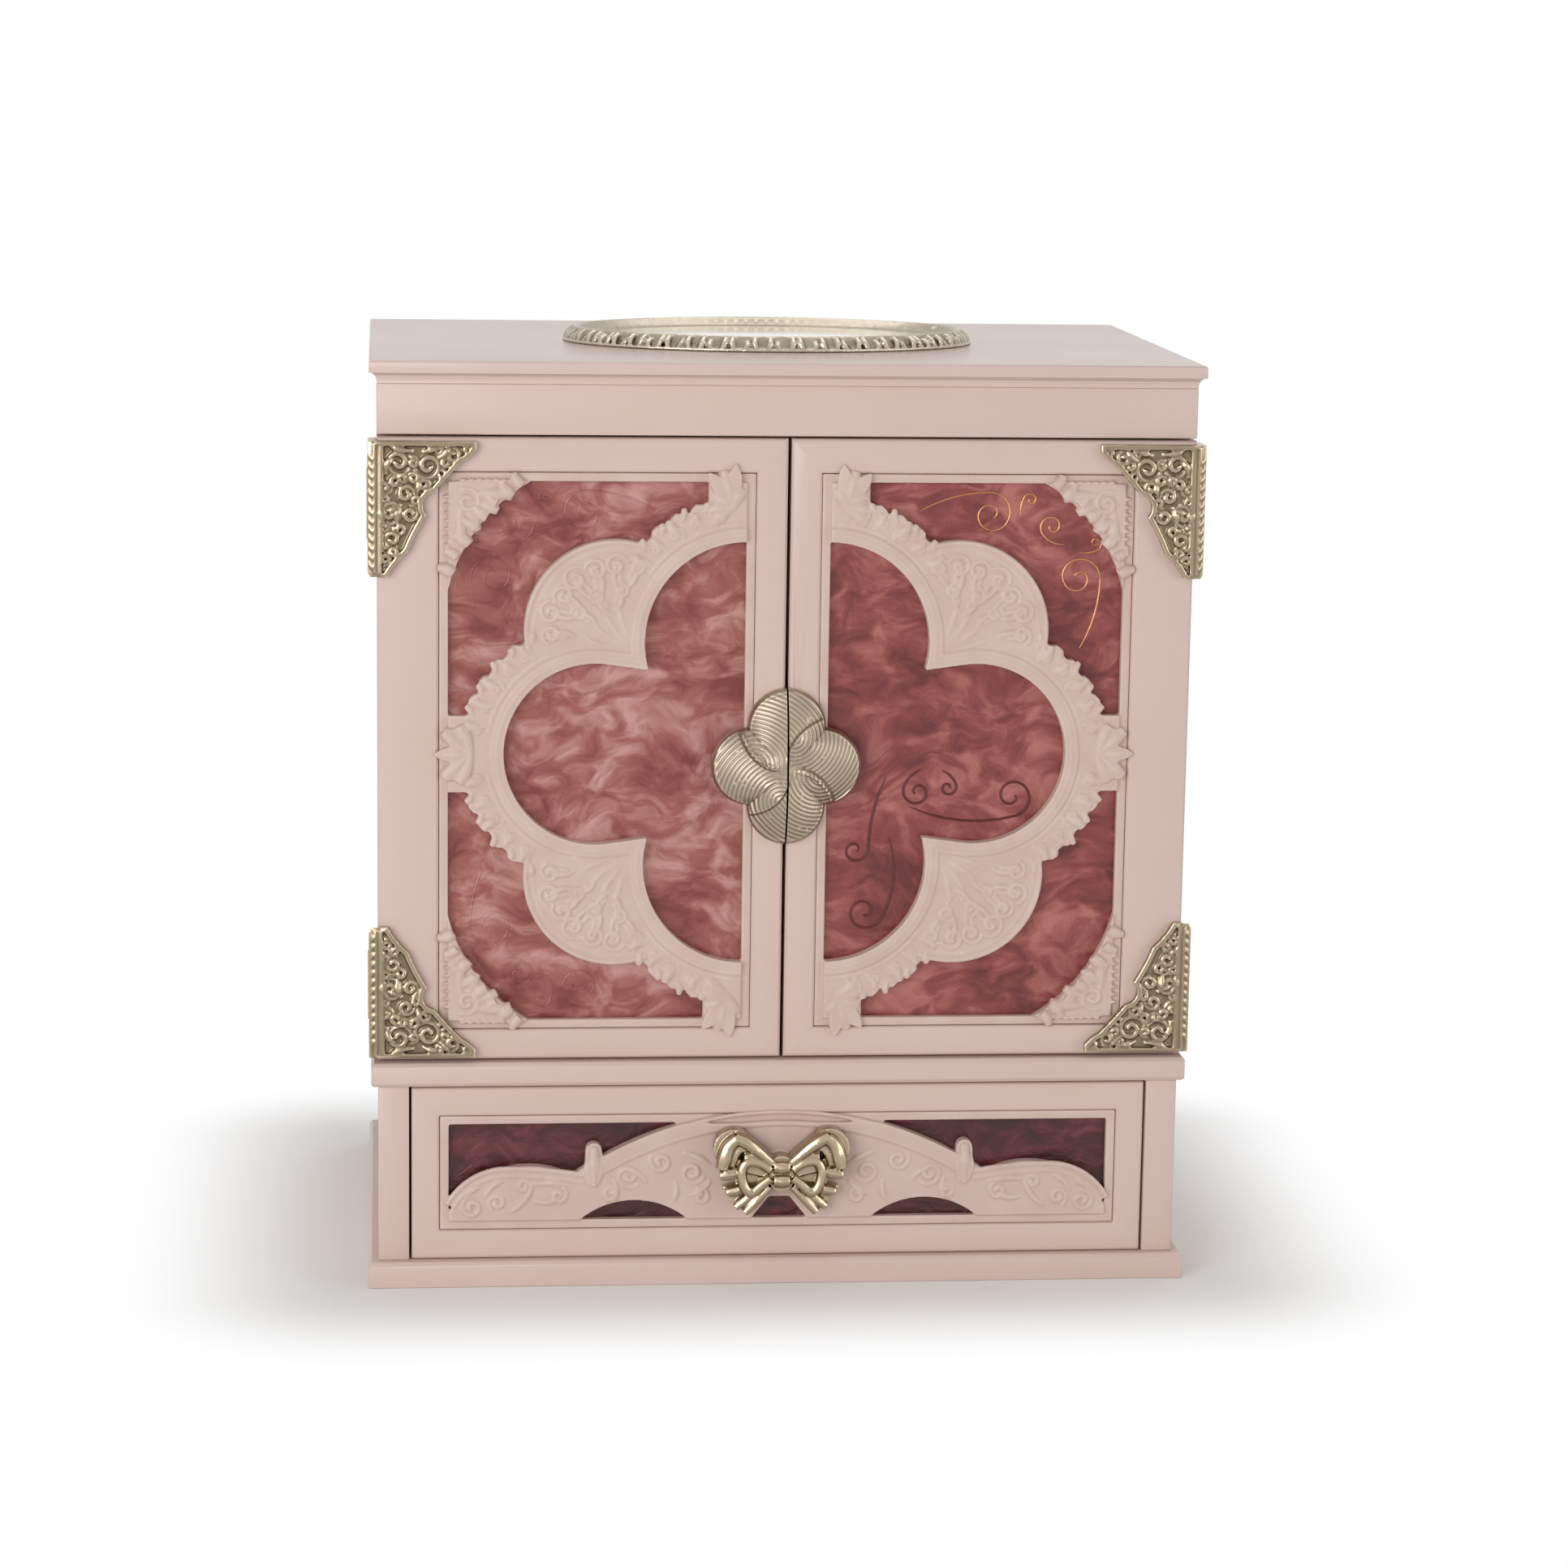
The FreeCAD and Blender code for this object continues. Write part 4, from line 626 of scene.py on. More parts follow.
for index, angle in enumerate(CORNER_LUMPS):
    size = LEAF_SIZES[index % len(LEAF_SIZES)]
    bend = LUMP_BEND if angle < LUMP_MIDDLE else -LUMP_BEND
    foot = spot(SHELL_X, SHELL_Z, CORNER_REACH, angle)
    lump = frond(*foot, angle + 180 - bend / 2, LUMP_LENGTH * size, bend)
    lines.append(swell(lump, CARVING_Y, CORNER_LUMP, size))
curl = volute(WINDOW_X - 6.5, WINDOW_Z - 6.5, radius=4.4, start=60, sweep=470)
lines.append(swell(curl, CARVING_Y, CORNER_CURL))
for across, down, heading, length, bend in CORNER_LEAVES:
    leaf = frond(WINDOW_X - across, WINDOW_Z - down, heading, length, bend)
    lines.append(swell(leaf, CARVING_Y, CORNER_LEAF))
for index in range(CORNER_BEADS):
    run = BEAD_FIRST + BEAD_STEP * index
    for x, z in ((WINDOW_X + BEAD_OUT, WINDOW_Z - run), (WINDOW_X - run, WINDOW_Z + BEAD_OUT)):
        lines.append(bead(x, CARVING_Y + 0.2, z, half=0.5, thick=1.35))
for heading, length, bend in TOP_SPRAY:
    leaf = frond(SPINE_X + 5.0, WINDOW_Z - 8.0, heading, length, bend)
    lines.append(swell(leaf, CARVING_Y, TOP_LEAF))
curl = volute(SPINE_X + 10.5, WINDOW_Z - 11.0, radius=3.2, start=200, sweep=-430)
lines.append(swell(curl, CARVING_Y, TOP_CURL))
lines += flip(lines, DOOR_MIDDLE)
for heading, length, bend in SIDE_SPRAY:
    for short, stroke in ((0.0, SIDE_LEAF), (1.5, SIDE_VEIN)):
        leaf = frond(WINDOW_X - SIDE_SPRAY_IN, DOOR_MIDDLE, heading, length - short, bend)
        lines.append(swell(leaf, CARVING_Y, stroke))
fretwork = copy_of("right_door_fretwork")
add_lines(fretwork, lines)
fretwork = cast(fretwork, FRET_VOXEL, FRET_SOFTEN, FRET_KEEP)
fit("left_fretwork", twin(fretwork), carved_resin, "left_door", "carved_resin", "left_door_fretwork")
fit("right_fretwork", fretwork, carved_resin, "right_door", "carved_resin", "right_door_fretwork")

# Corner brackets: gilt zinc castings that wrap the outer corners of the doors, each a thin plate with two rims,
# dense scrolls and a rope along its flange, painted dark in the hollows as shade over a brown patina. They are
# glued on; all four are one pattern, turned over.
BRACKET_LOW, BRACKET_HIGH = (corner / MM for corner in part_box("right_door_corner_brackets"))
BRACKET_MIDDLE = (BRACKET_LOW.z + BRACKET_HIGH.z) / 2
BRACKET_EDGE = 137.5
BRACKET_FACE = BRACKET_LOW.y + 0.9
BRACKET_VOXEL = 0.3 * MM
BRACKET_SOFTEN = 2
BRACKET_KEEP = 0.35
GILT_CLOUD = 3 * MM
GILT_TOOTH = 0.1 * MM
# Bend bounds of the crests' painted highlight, then of the hollows' painted shade
GILT_RUB_AND_HIGHLIGHT_FROM, GILT_RUB_AND_HIGHLIGHT_TO = 0.495, 0.56
GILT_SUNK, GILT_FLAT = 0.43, 0.497
# Strokes: depth behind the plate's face, then thickness at root, belly and tip
BRACKET_CURL = (0.2, 0.6, 1.1, 1.05)
BRACKET_LEAF = (0.2, 0.7, 1.4, 0.4)
ROPE_STROKE = (0.25, 0.6, 1.15, 0.5)
FLANGE_CURL = (-0.75, 0.5, 0.9, 0.8)
ROPE_COUNT, ROPE_FIRST, ROPE_PITCH, ROPE_OUT = 13, 4.4, 3.0, -2.3
FLANGE_INSET = 0.5
# Points of a rim, in from the outer edge and down from the top, and its stroke
BRACKET_RIMS = (
    (((-0.6, 0.9), (-0.6, 22), (-0.6, 43.8)), (0.0, 0.85, 0.85, 0.8)),
    (((1.7, 0.9), (1.7, 22), (1.7, 36.9)), (0.0, 0.85, 0.85, 0.8)),
    (((-0.6, 0.9), (16, 0.9), (31.6, 0.9)), (0.0, 0.9, 0.9, 0.8)),
)
# Place in from the outer edge and down from the top, radius, start and sweep
BRACKET_SCROLLS = (
    (17.0, 8.2, 4.8, 200, -560), (15.4, 14.6, 2.5, 90, -470), (7.2, 7.0, 4.4, 30, 520),
    (25.0, 4.8, 2.8, 220, 470), (29.8, 3.0, 1.7, 120, -400), (4.4, 23.6, 4.1, 100, -520),
    (11.0, 24.2, 3.0, 280, 470), (9.6, 17.6, 3.1, 40, -480), (5.2, 32.6, 3.0, 60, 480),
    (2.6, 39.4, 2.0, 100, -420), (21.4, 11.2, 2.2, 150, 420), (2.6, 15.4, 2.6, 340, 460),
    (12.2, 12.4, 2.2, 150, 430), (6.0, 13.6, 2.3, 60, -440), (13.2, 19.6, 1.9, 20, 420),
    (7.6, 29.2, 2.2, 200, -430), (2.4, 28.6, 1.9, 300, 420), (5.6, 37.2, 1.7, 140, 420),
    (22.8, 7.4, 1.8, 10, -400), (12.0, 7.0, 1.9, 240, 420), (2.4, 19.4, 1.7, 120, -420),
    (21.0, 3.2, 1.6, 60, 400), (2.4, 34.6, 1.6, 200, 400), (8.6, 12.2, 1.7, 0, 420),
)
# Place, heading, length and bend
BRACKET_LEAVES = (
    (12.0, 3.2, 175, 9.0, 40), (22.0, 2.6, 190, 7.0, -40), (13.0, 11.0, 60, 7.0, 60),
    (3.0, 11.0, 265, 7.0, 60), (7.0, 28.0, 250, 7.0, 50), (1.8, 29.0, 275, 8.0, -30),
    (8.0, 21.0, 130, 6.0, 60), (19.6, 6.0, 340, 7.0, -50),
)
# Place back from the front and down from the top, radius, start and sweep
FLANGE_SCROLLS = ((6.0, 6.0, 4.2, 30, 480), (5.0, 16.0, 3.6, 200, -470), (3.2, 26.0, 2.4, 60, 430))


def gilt(name, bright, dull, patina_and_shade_tone, roughness):
    """Cast plate: painted highlight on crests, duller flats, painted shade in hollows; old gilt adds rubbed
    crests and patina.
    """
    made, tree = new_finish(name)
    place = add(tree, "ShaderNodeTexCoord").outputs["Object"]
    bend = add(tree, "ShaderNodeNewGeometry").outputs["Pointiness"]
    # Painted highlight on the crests and painted shade in the hollows, read from the mesh's pointiness
    rubbed_and_lit = add(
        tree, "ShaderNodeMapRange", {"Value": bend, "From Min": GILT_RUB_AND_HIGHLIGHT_FROM, "From Max": GILT_RUB_AND_HIGHLIGHT_TO},
    )
    patina_and_shade = add(tree, "ShaderNodeMapRange", {"Value": bend, "From Min": GILT_SUNK, "From Max": GILT_FLAT})
    cloud = add(tree, "ShaderNodeTexNoise", {"Vector": place, "Scale": 1 / GILT_CLOUD, "Detail": 4.0})
    plate = add(
        tree, "ShaderNodeMix",
        {"Factor": rubbed_and_lit.outputs[0], "A": colour(dull), "B": colour(bright)}, data_type="RGBA",
    )
    tone = add(
        tree, "ShaderNodeMix",
        {"Factor": patina_and_shade.outputs[0], "A": colour(patina_and_shade_tone), "B": plate.outputs["Result"]}, data_type="RGBA",
    )
    gloss = add(tree, "ShaderNodeMapRange", {
        "Value": cloud.outputs[0], "To Min": roughness - METAL_DRIFT, "To Max": roughness + METAL_DRIFT,
    })
    bump = add(
        tree, "ShaderNodeBump", {"Height": cloud.outputs[0], "Strength": 0.2, "Distance": GILT_TOOTH},
    )
    surface = add(tree, "ShaderNodeBsdfPrincipled", {
        "Base Color": tone.outputs["Result"], "Metallic": 1.0, "Roughness": gloss.outputs[0],
        "Normal": bump.outputs[0],
    })
    add(tree, "ShaderNodeOutputMaterial", {"Surface": surface.outputs[0]})
    return made


def on_bracket(points):
    """From distances in from the corner's outer edge and down from its top to the door's frame."""
    return [(BRACKET_EDGE - across, BRACKET_HIGH.z - down) for across, down in points]


# Old gilt zinc: rubbed crests with a painted highlight, painted shade over brown patina in hollows, so small
# scrolls read from afar
old_gold = gilt("old_gilt_casting", "#D3C3A9", "#857660", "#2F261B", roughness=0.26)
lines = [swell(on_bracket(volute(*row)), BRACKET_FACE, BRACKET_CURL) for row in BRACKET_SCROLLS]
lines += [swell(on_bracket(frond(*row)), BRACKET_FACE, BRACKET_LEAF) for row in BRACKET_LEAVES]
lines += [swell(on_bracket(points), BRACKET_FACE, stroke) for points, stroke in BRACKET_RIMS]
for index in range(ROPE_COUNT):
    strand = frond(ROPE_OUT, ROPE_FIRST + ROPE_PITCH * index, heading=70, length=3.6, bend=-60)
    lines.append(swell(on_bracket(strand), BRACKET_FACE, ROPE_STROKE))
for back, down, radius, start, sweep in FLANGE_SCROLLS:
    curl = volute(BRACKET_LOW.y + back, BRACKET_HIGH.z - down, radius, start, sweep)
    lines.append([(x, y, z, thick) for y, x, z, thick in swell(curl, BRACKET_HIGH.x, FLANGE_CURL)])
lines += flip(lines, BRACKET_MIDDLE)
brackets = copy_of("right_door_corner_brackets")
for vert in brackets.verts:
    if vert.co.x > (BRACKET_EDGE - FLANGE_INSET) * MM:
        vert.co.y = max(vert.co.y, BRACKET_FACE * MM)
add_lines(brackets, lines)
brackets = cast(brackets, BRACKET_VOXEL, BRACKET_SOFTEN, BRACKET_KEEP)
fit("left_brackets", twin(brackets), old_gold, "left_door", "antique_gold", "left_door_corner_brackets")
fit("right_brackets", brackets, old_gold, "right_door", "antique_gold", "right_door_corner_brackets")

# Knob: a domed four-lobed boss of plated zinc, sawn down the middle so that each door carries one half, held by
# screws from behind. Four petals turn like a pinwheel, each ribbed along its length, stepping down to the next
# and edged with beads.
KNOB_MIDDLE = (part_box("right_knob_half")[0].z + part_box("right_knob_half")[1].z) / 2 / MM
KNOB_BACK, KNOB_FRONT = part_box("right_knob_half")[1].y / MM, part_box("right_knob_half")[0].y / MM
KNOB_LOBES = ((12.2, 0.0), (0.0, 13.4), (-12.2, 0.0), (0.0, -13.4))
KNOB_LOBE_RADIUS = 13.2
KNOB_GAP = 0.35
KNOB_RINGS, KNOB_SPOKES = 120, 480
KNOB_SKIRT = 2.0
DOME_ROOM, DOME_POWER = 1.2, 2.4
PETAL_ARC = 90
PETAL_TURN, PETAL_START = 2.35, 190.0
PETAL_STEP, STEP_WIDTH = 1.3, 0.8
PETAL_HEART, PETAL_EDGE = 0.25, 0.06
RIB_X, RIB_Z = -11.0, 2.0
RIB_PITCH, RIB_HEIGHT = 1.45, 0.15
ROLL_HEIGHT, ROLL_PLACE, ROLL_WIDTH = 0.5, 0.965, 0.022
BEAD_PITCH, BEAD_HEIGHT, BEAD_WIDTH, BEAD_INSET, BEAD_DIP, BEAD_FADE = 1.7, 0.9, 0.6, 0.9, 0.25, 0.4


def knob_reach(angle):
    """Distance from the middle of the knob to its lobed edge."""
    across, up = math.cos(angle), math.sin(angle)
    reaches = []
    for x, z in KNOB_LOBES:
        along, aside = x * across + z * up, x * up - z * across
        if abs(aside) < KNOB_LOBE_RADIUS:
            reaches.append(along + math.sqrt(KNOB_LOBE_RADIUS ** 2 - aside ** 2))
    return max(reaches)


def knob_height(reach, share, angle):
    """Height of the knob's face over the door: a dome with four stepped and ribbed petals and a rolled rim."""
    dome = (KNOB_BACK - KNOB_FRONT - KNOB_SKIRT - DOME_ROOM) * (1 - share ** DOME_POWER)
    turned = (PETAL_START - PETAL_TURN * reach - math.degrees(angle)) % 360
    petal, along = divmod(turned, PETAL_ARC)
    fall = along / PETAL_ARC
    edge = min(1.0, (1 - fall) * reach * math.pi / 2 / STEP_WIDTH)
    cover = min(1.0, share / PETAL_HEART) * min(1.0, (1 - share) / PETAL_EDGE)
    step = PETAL_STEP * ((1 - fall) * edge + (1 - edge))
    back = angle + math.radians(PETAL_ARC * petal)
    rib = math.hypot(reach * math.cos(back) - RIB_X, reach * math.sin(back) - RIB_Z)
    ribs = RIB_HEIGHT * math.cos(2 * math.pi * rib / RIB_PITCH)
    rolled = ROLL_HEIGHT * math.exp(-((share - ROLL_PLACE) / ROLL_WIDTH) ** 2)
    aside = math.radians((turned + 90) % 180 - 90) * reach - BEAD_INSET
    beads = BEAD_HEIGHT * math.exp(-(aside / BEAD_WIDTH) ** 2) * min(1.0, share / BEAD_FADE)
    beads *= 1 - BEAD_DIP + BEAD_DIP * math.cos(2 * math.pi * reach / BEAD_PITCH)
    return KNOB_SKIRT + dome + rolled + (step + ribs + beads) * cover


# Champagne plate over polished zinc: a soft warm grey gleam, a painted highlight on crests, painted shade
# between the ribs
champagne = gilt("champagne_plate", "#C6B8A7", "#9C8D7C", "#78695A", roughness=0.36)
knob = bmesh.new()
spoke = [knob.verts.new((index / KNOB_RINGS, 0, 0)) for index in range(KNOB_RINGS + 1)]
rays = [knob.edges.new(pair) for pair in zip(spoke, spoke[1:])]
bmesh.ops.spin(
    knob, geom=spoke + rays, cent=(0, 0, 0), axis=(0, 1, 0), dvec=(0, 0, 0), angle=2 * math.pi,
    steps=KNOB_SPOKES, use_merge=True, use_duplicate=False, use_normal_flip=False, space=Matrix(),
)
bmesh.ops.remove_doubles(knob, verts=knob.verts, dist=0.0001)
for vert in knob.verts:
    share = math.hypot(vert.co.x, vert.co.z)
    angle = math.atan2(vert.co.z, vert.co.x)
    reach = share * knob_reach(angle)
    x, z = reach * math.cos(angle), KNOB_MIDDLE + reach * math.sin(angle)
    vert.co = Vector((x, KNOB_BACK - knob_height(reach, share, angle), z)) * MM
wall = bmesh.ops.extrude_edge_only(knob, edges=[edge for edge in knob.edges if edge.is_boundary])["geom"]
for item in wall:
    if isinstance(item, bmesh.types.BMVert):
        item.co.y = KNOB_BACK * MM
bmesh.ops.contextual_create(knob, geom=[edge for edge in knob.edges if edge.is_boundary])
bmesh.ops.recalc_face_normals(knob, faces=knob.faces)
for side, turn in (("left", -1), ("right", 1)):
    half_knob = knob.copy()
    bmesh.ops.bisect_plane(
        half_knob, geom=half_knob.verts[:] + half_knob.edges[:] + half_knob.faces[:], dist=SAME_POINT,
        plane_co=(turn * KNOB_GAP * MM, 0, 0), plane_no=(-turn, 0, 0), clear_outer=True,
    )
    bmesh.ops.contextual_create(half_knob, geom=[edge for edge in half_knob.edges if edge.is_boundary])
    bmesh.ops.recalc_face_normals(half_knob, faces=half_knob.faces)
    fit(f"{side}_knob", half_knob, champagne, f"{side}_door", "champagne_metal", f"{side}_knob_half")
knob.free()

# Hinges and screws: butt hinges of drawn brass, two to a door and two to the lid, with rolled barrels round
# their pins and each leaf let into its board, and plated steel screws and strikes. The casts round off the
# flats of the barrels and the shanks.
TURNED_VOXEL = 0.22 * MM
TURNED_SOFTEN = 4
TURNED_KEEP = 0.3
# Name of the hinge, then of its moving leaf and of the body that it is screwed to
HINGES = (
    ("left_hinge", "door", "left_door"), ("right_hinge", "door", "right_door"), ("lid_hinge", "lid", "lid"),
)


def turned(name, finish, body, slot):
    """A small rolled or turned piece, made round."""
    made = cast(copy_of(name), TURNED_VOXEL, TURNED_SOFTEN, TURNED_KEEP)
    fit(name + "_turned", made, finish, body, slot, name)


# Drawn brass: warm yellow with upright streaks, drawn coarser than real ones to show
brass = brushed_metal("drawn_brass", "#C9A662", "#A98445", roughness=0.3, streak=(1, 1, 0.2))
for hinge, wing, body in HINGES:
    turned(f"{hinge}_case_leaves", brass, "cabinet", "hinge_brass")
    turned(f"{hinge}_{wing}_leaves", brass, body, "hinge_brass")
    turned(f"{hinge}_pins", brass, "cabinet", "hinge_brass")
for side in ("left", "right"):
    dress(steel, f"{side}_door_strike")
    turned(f"{side}_knob_screws", steel, f"{side}_door", "steel")
turned("bow_pull_screw", steel, "drawer", "steel")

# Drawer: a painted fibreboard front with a sheet of wine resin laid into it, darkened to nearly black as
# painted shade, and a plain painted box behind, glued and pinned, that slides on the plinth board.
WINE_SWIRL = 8 * MM
for name in ("drawer_front", "drawer_left_side", "drawer_right_side", "drawer_back", "drawer_bottom"):
    fit(name + "_painted", board(name), paint, "drawer", "pink_paint", name)
# Stirred wine resin: a wine tone deepened to nearly black red as painted shade, with slow folds under the clear
# face
shaded_wine_resin = pearl_resin("stirred_wine_resin", "#330B0E", "#491317", "#6C2C30", WINE_SWIRL)
dress(shaded_wine_resin, "drawer_panel")

# Drawer fretwork: the same moulded resin, glued over the dark sheet. A shallow arch with a double rim and
# engraved leaves, a wave with running scrolls at each end, and a bud where the two meet.
ARCH_Z, ARCH_RADIUS, ARCH_END, ARCH_STEP = -62.9, 124.0, 60.5, 1.5
WAVE_X, WAVE_Z, WAVE_SWEEP, WAVE_END = 93.5, 41.9, 140.0, 24.3
WAVE_LONG_ARC, WAVE_END_ARC, WAVE_END_STEP = (101, 90), (84, 28), 6
BUD_X, BUD_Z = 64.0, 22.45
BUD_LEVELS = (12, 20, 26)
# Strokes: depth behind the carving's face, then thickness at root, belly and tip
ARCH_LINE = (0.2, 0.8, 0.8, 0.8)
WAVE_LINE = (0.35, 0.9, 0.9, 0.9)
WAVE_FILL = (1.9, 1.7, 1.7, 1.7)
WAVE_CURL = (0.0, 0.5, 0.85, 0.9)
WAVE_LEAF = (0.05, 0.6, 1.1, 0.35)
BUD_STROKE = (0.3, 1.4, 2.6, 1.5)
BUD_LEAF = (0.0, 0.8, 1.3, 0.5)
ARCH_INSETS = (0.9, 4.6)
# Distance below the wave's crest, step along its long arc in degrees, and stroke
WAVE_CRESTS = (
    (0.9, 1, WAVE_LINE), (3.4, 1, WAVE_LINE), (2.0, 2, WAVE_FILL), (4.5, 2, WAVE_FILL), (7.0, 2, WAVE_FILL),
)
# Centre, radius, start and sweep, first on the wave and then on the arch
DRAWER_SCROLLS = (
    (105.5, 27.6, 4.0, 100, -520), (97.0, 29.0, 3.2, 300, 470), (76.0, 31.5, 3.4, 60, 480),
    (88.0, 34.6, 2.6, 200, -430), (52.0, 38.0, 4.4, 220, 500), (41.0, 43.0, 4.0, 40, -480),
    (30.0, 39.0, 4.2, 200, 480), (58.0, 31.5, 2.8, 120, -430), (27.0, 30.5, 3.0, 60, 430),
)
# Root, heading, length and bend, first on the wave and then on the arch
DRAWER_LEAVES = (
    (101.0, 31.5, 110, 9.0, 60), (92.0, 26.0, 150, 13.0, -50), (84.0, 35.5, 170, 12.0, 25),
    (84.0, 29.5, 200, 9.0, -60), (108.0, 31.0, 120, 7.0, 50), (46.0, 36.0, 60, 9.0, -60),
    (36.0, 36.0, 250, 8.0, 60), (33.0, 46.0, 190, 10.0, 30), (24.0, 36.0, 300, 9.0, 50),
    (57.0, 36.5, 250, 8.0, 40),
)
right_lines = []
for inset in ARCH_INSETS:
    edge = around(0, ARCH_Z, ARCH_RADIUS - inset, 90, ARCH_END, ARCH_STEP)
    right_lines.append(swell(edge, CARVING_Y, ARCH_LINE))
for sink, step, stroke in WAVE_CRESTS:
    crest = around(WAVE_X, WAVE_Z - WAVE_SWEEP, WAVE_SWEEP - sink, *WAVE_LONG_ARC, step)
    crest += around(WAVE_X, WAVE_Z - WAVE_END, WAVE_END - sink, *WAVE_END_ARC, WAVE_END_STEP)
    right_lines.append(swell(crest, CARVING_Y, stroke))
right_lines += [swell(volute(*row), CARVING_Y, WAVE_CURL) for row in DRAWER_SCROLLS]
right_lines += [swell(frond(*row), CARVING_Y, WAVE_LEAF) for row in DRAWER_LEAVES]
right_lines.append(swell([(BUD_X, BUD_Z + rise) for rise in BUD_LEVELS], CARVING_Y, BUD_STROKE))
for lean in (-1, 1):
    leaf = frond(BUD_X + 1.2 * lean, BUD_Z + 13, heading=90 - 22 * lean, length=9.0, bend=30 * lean)
    right_lines.append(swell(leaf, CARVING_Y, BUD_LEAF))
left_lines = [[(-x, y, z, radius) for x, y, z, radius in line] for line in right_lines]
carving = copy_of("drawer_fretwork")
add_lines(carving, right_lines + left_lines)
carving = cast(carving, FRET_VOXEL, FRET_SOFTEN, FRET_KEEP)
fit("drawer_carving", carving, carved_resin, "drawer", "carved_resin", "drawer_fretwork")

# Bow pull: a gilt zinc casting of a tied ribbon, held by one screw from inside the drawer. Rolled ribbon edges
# stand over the thinner folds between them: two large loops, two small ones, two forked tails and the knot.
BOW_LOW, BOW_HIGH = (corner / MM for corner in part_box("bow_pull"))
BOW_FACE = BOW_LOW.y + 2.6
BOW_THIN = 0.3
BOW_VOXEL = 0.32 * MM
BOW_SOFTEN = 3
BOW_KEEP = 0.5
CURVE_STEPS = 6
KNOT_Z, KNOT_HALF = 40.3, 2.8
KNOT_RISES = (2.6, -2.2)
KNOT_STROKE = (0.0, 1.9, 2.4, 1.9)
# Points of a ribbon's edge out and up from the knot, then its depth and its thickness at root, belly and tip
BOW_RIBBONS = (
    (((3.0, 3.6), (8.0, 8.0), (12.6, 11.4), (16.2, 13.0)), (0.4, 1.5, 2.3, 2.2)),
    (((15.4, 12.8), (18.4, 9.8), (19.8, 5.4), (20.6, 2.0)), (0.3, 2.2, 2.7, 2.3)),
    (((10.6, 9.0), (14.4, 8.6), (16.6, 5.8), (17.2, 2.8)), (1.2, 1.3, 1.8, 1.4)),
    (((4.0, 2.6), (8.5, 5.2), (13.0, 6.2)), (0.8, 1.2, 1.6, 1.2)),
    (((12.6, 1.4), (17.0, 0.2), (21.2, -0.6)), (1.2, 1.5, 2.2, 1.9)),
    (
        (
            (3.8, 1.4), (7.5, 3.8), (12.0, 4.2), (13.8, 0.8),
            (12.8, -4.0), (10.4, -6.4), (6.8, -3.6), (3.8, -1.4),
        ),
        (0.2, 1.5, 1.9, 1.6),
    ),
    (((4.8, -3.8), (12.0, -5.4), (18.8, -6.8)), (2.2, 1.3, 2.0, 1.6)),
    (((4.6, -4.4), (10.6, -8.4), (15.6, -12.4)), (2.8, 1.3, 2.0, 1.5)),
    (((3.8, -5.0), (8.4, -9.6), (12.4, -14.2)), (2.0, 1.2, 1.7, 1.5)),
)


def rounded(points):
    """Fills in a line of points so that it bends smoothly through them."""
    ends = [points[0]] + list(points) + [points[-1]]
    filled = []
    for before, start, end, after in zip(ends, ends[1:], ends[2:], ends[3:]):
        for step in range(CURVE_STEPS):
            t = step / CURVE_STEPS
            filled.append(tuple(
                b + ((c - a) * t + (2 * a - 5 * b + 4 * c - d) * t ** 2 + (3 * b - 3 * c + d - a) * t ** 3) / 2
                for a, b, c, d in zip(before, start, end, after)
            ))
    return filled + [points[-1]]


lines = []
for points, stroke in BOW_RIBBONS:
    for turn in (-1, 1):
        placed = [(turn * x, KNOT_Z + z) for x, z in rounded(points)]
        lines.append(swell(placed, BOW_FACE, stroke))
for rise in KNOT_RISES:
    lines.append(swell([(x, KNOT_Z + rise) for x in (-KNOT_HALF, 0, KNOT_HALF)], BOW_FACE, KNOT_STROKE))
# Polished gilt zinc: a painted highlight on the rolled ribbon's sharp edges, painted shade in the brown folds
polished_gold = gilt("polished_gilt_casting", "#D0BFA6", "#A39279", "#453828", roughness=0.2)
bow = copy_of("bow_pull")
for vert in bow.verts:
    vert.co.y += (BOW_HIGH.y * MM - vert.co.y) * BOW_THIN
add_lines(bow, lines)
bow = cast(bow, BOW_VOXEL, BOW_SOFTEN, BOW_KEEP)
fit("bow", bow, polished_gold, "drawer", "antique_gold", "bow_pull")

# Lid: a slab of fibreboard with a cove below its edge, painted like the case and polished on top, and four
# painted strips that hold the looking glass under it.
# Polished paint: the same pink with a clearer sheen and less orange peel
gloss_paint = satin_paint("polished_lid_paint", PAINT_LIGHT, PAINT_DARK, roughness=0.34, peel=0.15, coat=0.12)
fit("lid_board_painted", board("lid_board"), gloss_paint, "lid", "pink_paint", "lid_board")
fit("lid_mirror_beads_painted", board("lid_mirror_beads"), paint, "lid", "pink_paint", "lid_mirror_beads")

# Mirror on the lid: an oval of silvered glass in a gilt zinc rim, cast as a wreath of small leaves round a row
# of beads and glued down on the polished top. The looking glass under the lid has the same silvering.
OVAL_LOW, OVAL_HIGH = (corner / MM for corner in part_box("mirror_frame"))
OVAL_HALF_X = (OVAL_HIGH.x - OVAL_LOW.x) / 2
OVAL_HALF_Y = (OVAL_HIGH.y - OVAL_LOW.y) / 2
OVAL_MIDDLE_Y = (OVAL_HIGH.y + OVAL_LOW.y) / 2
OVAL_VOXEL = 0.42 * MM
OVAL_SOFTEN = 1
OVAL_KEEP = 0.36
OVAL_STEPS = 120
WREATH_LEAVES = 112
WREATH_LEAN = 0.2
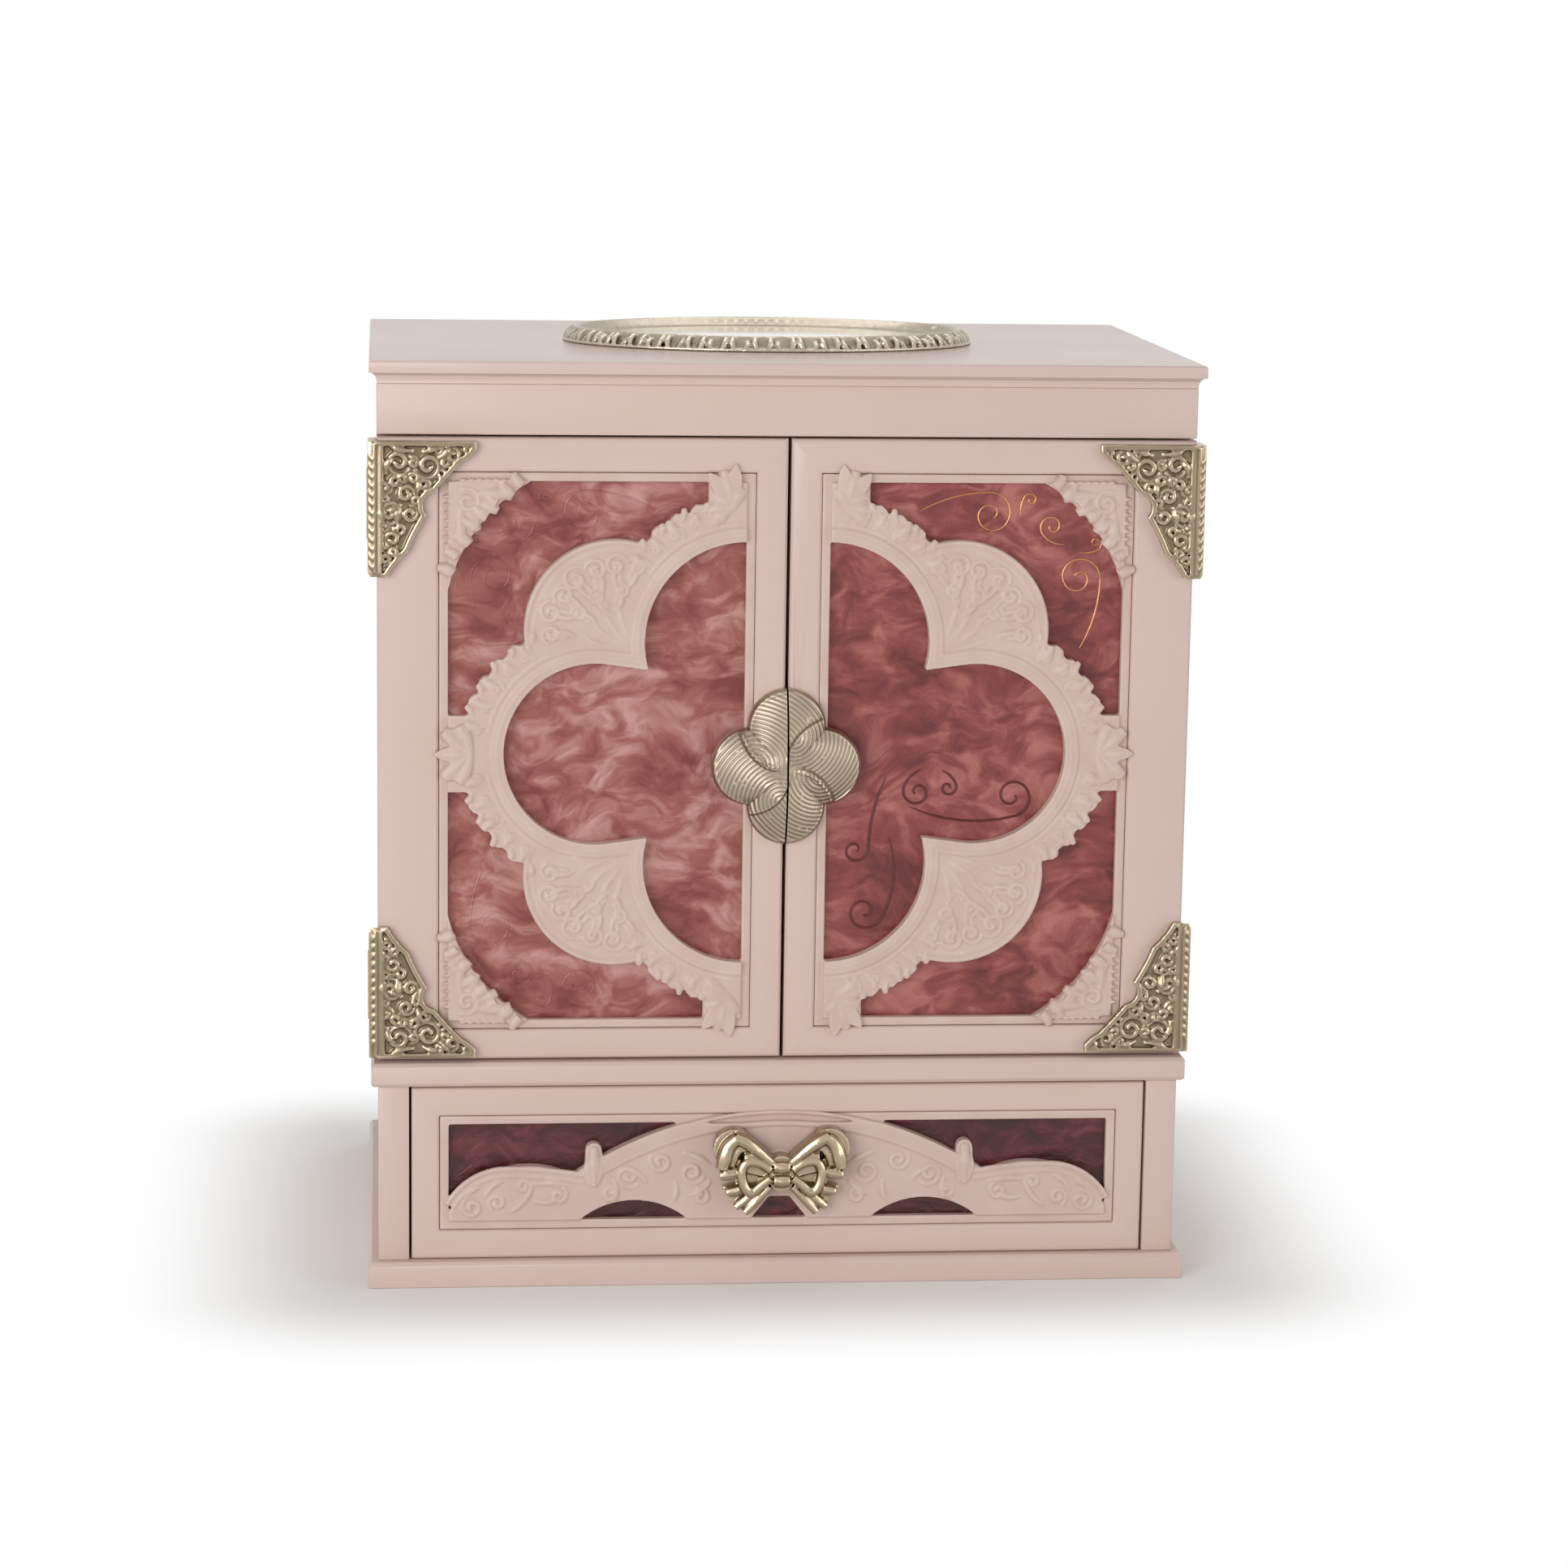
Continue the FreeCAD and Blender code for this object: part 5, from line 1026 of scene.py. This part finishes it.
# Points of a leaf: whether it leans there, inset from the outer edge, rise over the lid and thickness
TALL_LEAF = ((0, 0.9, 0.9, 0.8), (1, 1.9, 3.0, 1.2), (1, 4.0, 4.5, 0.9))
LOW_LEAF = ((0, 0.9, 0.9, 0.8), (1, 1.9, 2.0, 1.2), (1, 4.0, 3.4, 0.9))
WREATH_BEAD_INSET, WREATH_BEAD_RISE = 6.2, 3.6
# Inset, rise and thickness of the two plain rims
WREATH_RIMS = ((0.6, 0.6, 0.6), (5.2, 4.2, 0.7))


def on_oval(share, inset):
    """Point of the mirror's oval at a share of its round, drawn in from the outer edge."""
    turn = 2 * math.pi * share
    return (OVAL_HALF_X - inset) * math.cos(turn), OVAL_MIDDLE_Y + (OVAL_HALF_Y - inset) * math.sin(turn)


lines = []
for index in range(WREATH_LEAVES):
    share = index / WREATH_LEAVES
    lean = (WREATH_LEAN if index % 2 else -WREATH_LEAN) / WREATH_LEAVES
    lines.append([
        (*on_oval(share + lean * leans, inset), OVAL_LOW.z + rise, thick)
        for leans, inset, rise, thick in (TALL_LEAF if index % 3 else LOW_LEAF)
    ])
    bead_x, bead_y = on_oval(share, WREATH_BEAD_INSET)
    lines.append(bead(bead_x, bead_y, OVAL_LOW.z + WREATH_BEAD_RISE, half=0.6, thick=1.1))
for inset, rise, thick in WREATH_RIMS:
    shares = [index / OVAL_STEPS for index in range(OVAL_STEPS + 1)]
    lines.append([(*on_oval(share, inset), OVAL_LOW.z + rise, thick) for share in shares])
# Pale gilt zinc: small leaves with a painted highlight, painted shade in the dark gaps between them
pale_gold = gilt("pale_gilt_casting", "#CFC5B6", "#9F9484", "#3E352A", roughness=0.28)
wreath = copy_of("mirror_frame")
add_lines(wreath, lines)
wreath = cast(wreath, OVAL_VOXEL, OVAL_SOFTEN, OVAL_KEEP)
fit("mirror_wreath", wreath, pale_gold, "lid", "antique_gold", "mirror_frame")
# Silvered glass: a clear cool reflection that is a little soft
mirror = brushed_metal("silvered_glass", "#DDE2E0", "#D6DCDA", roughness=0.09, streak=(1, 1, 1))
dress(mirror, "mirror_glass", "lid_mirror")
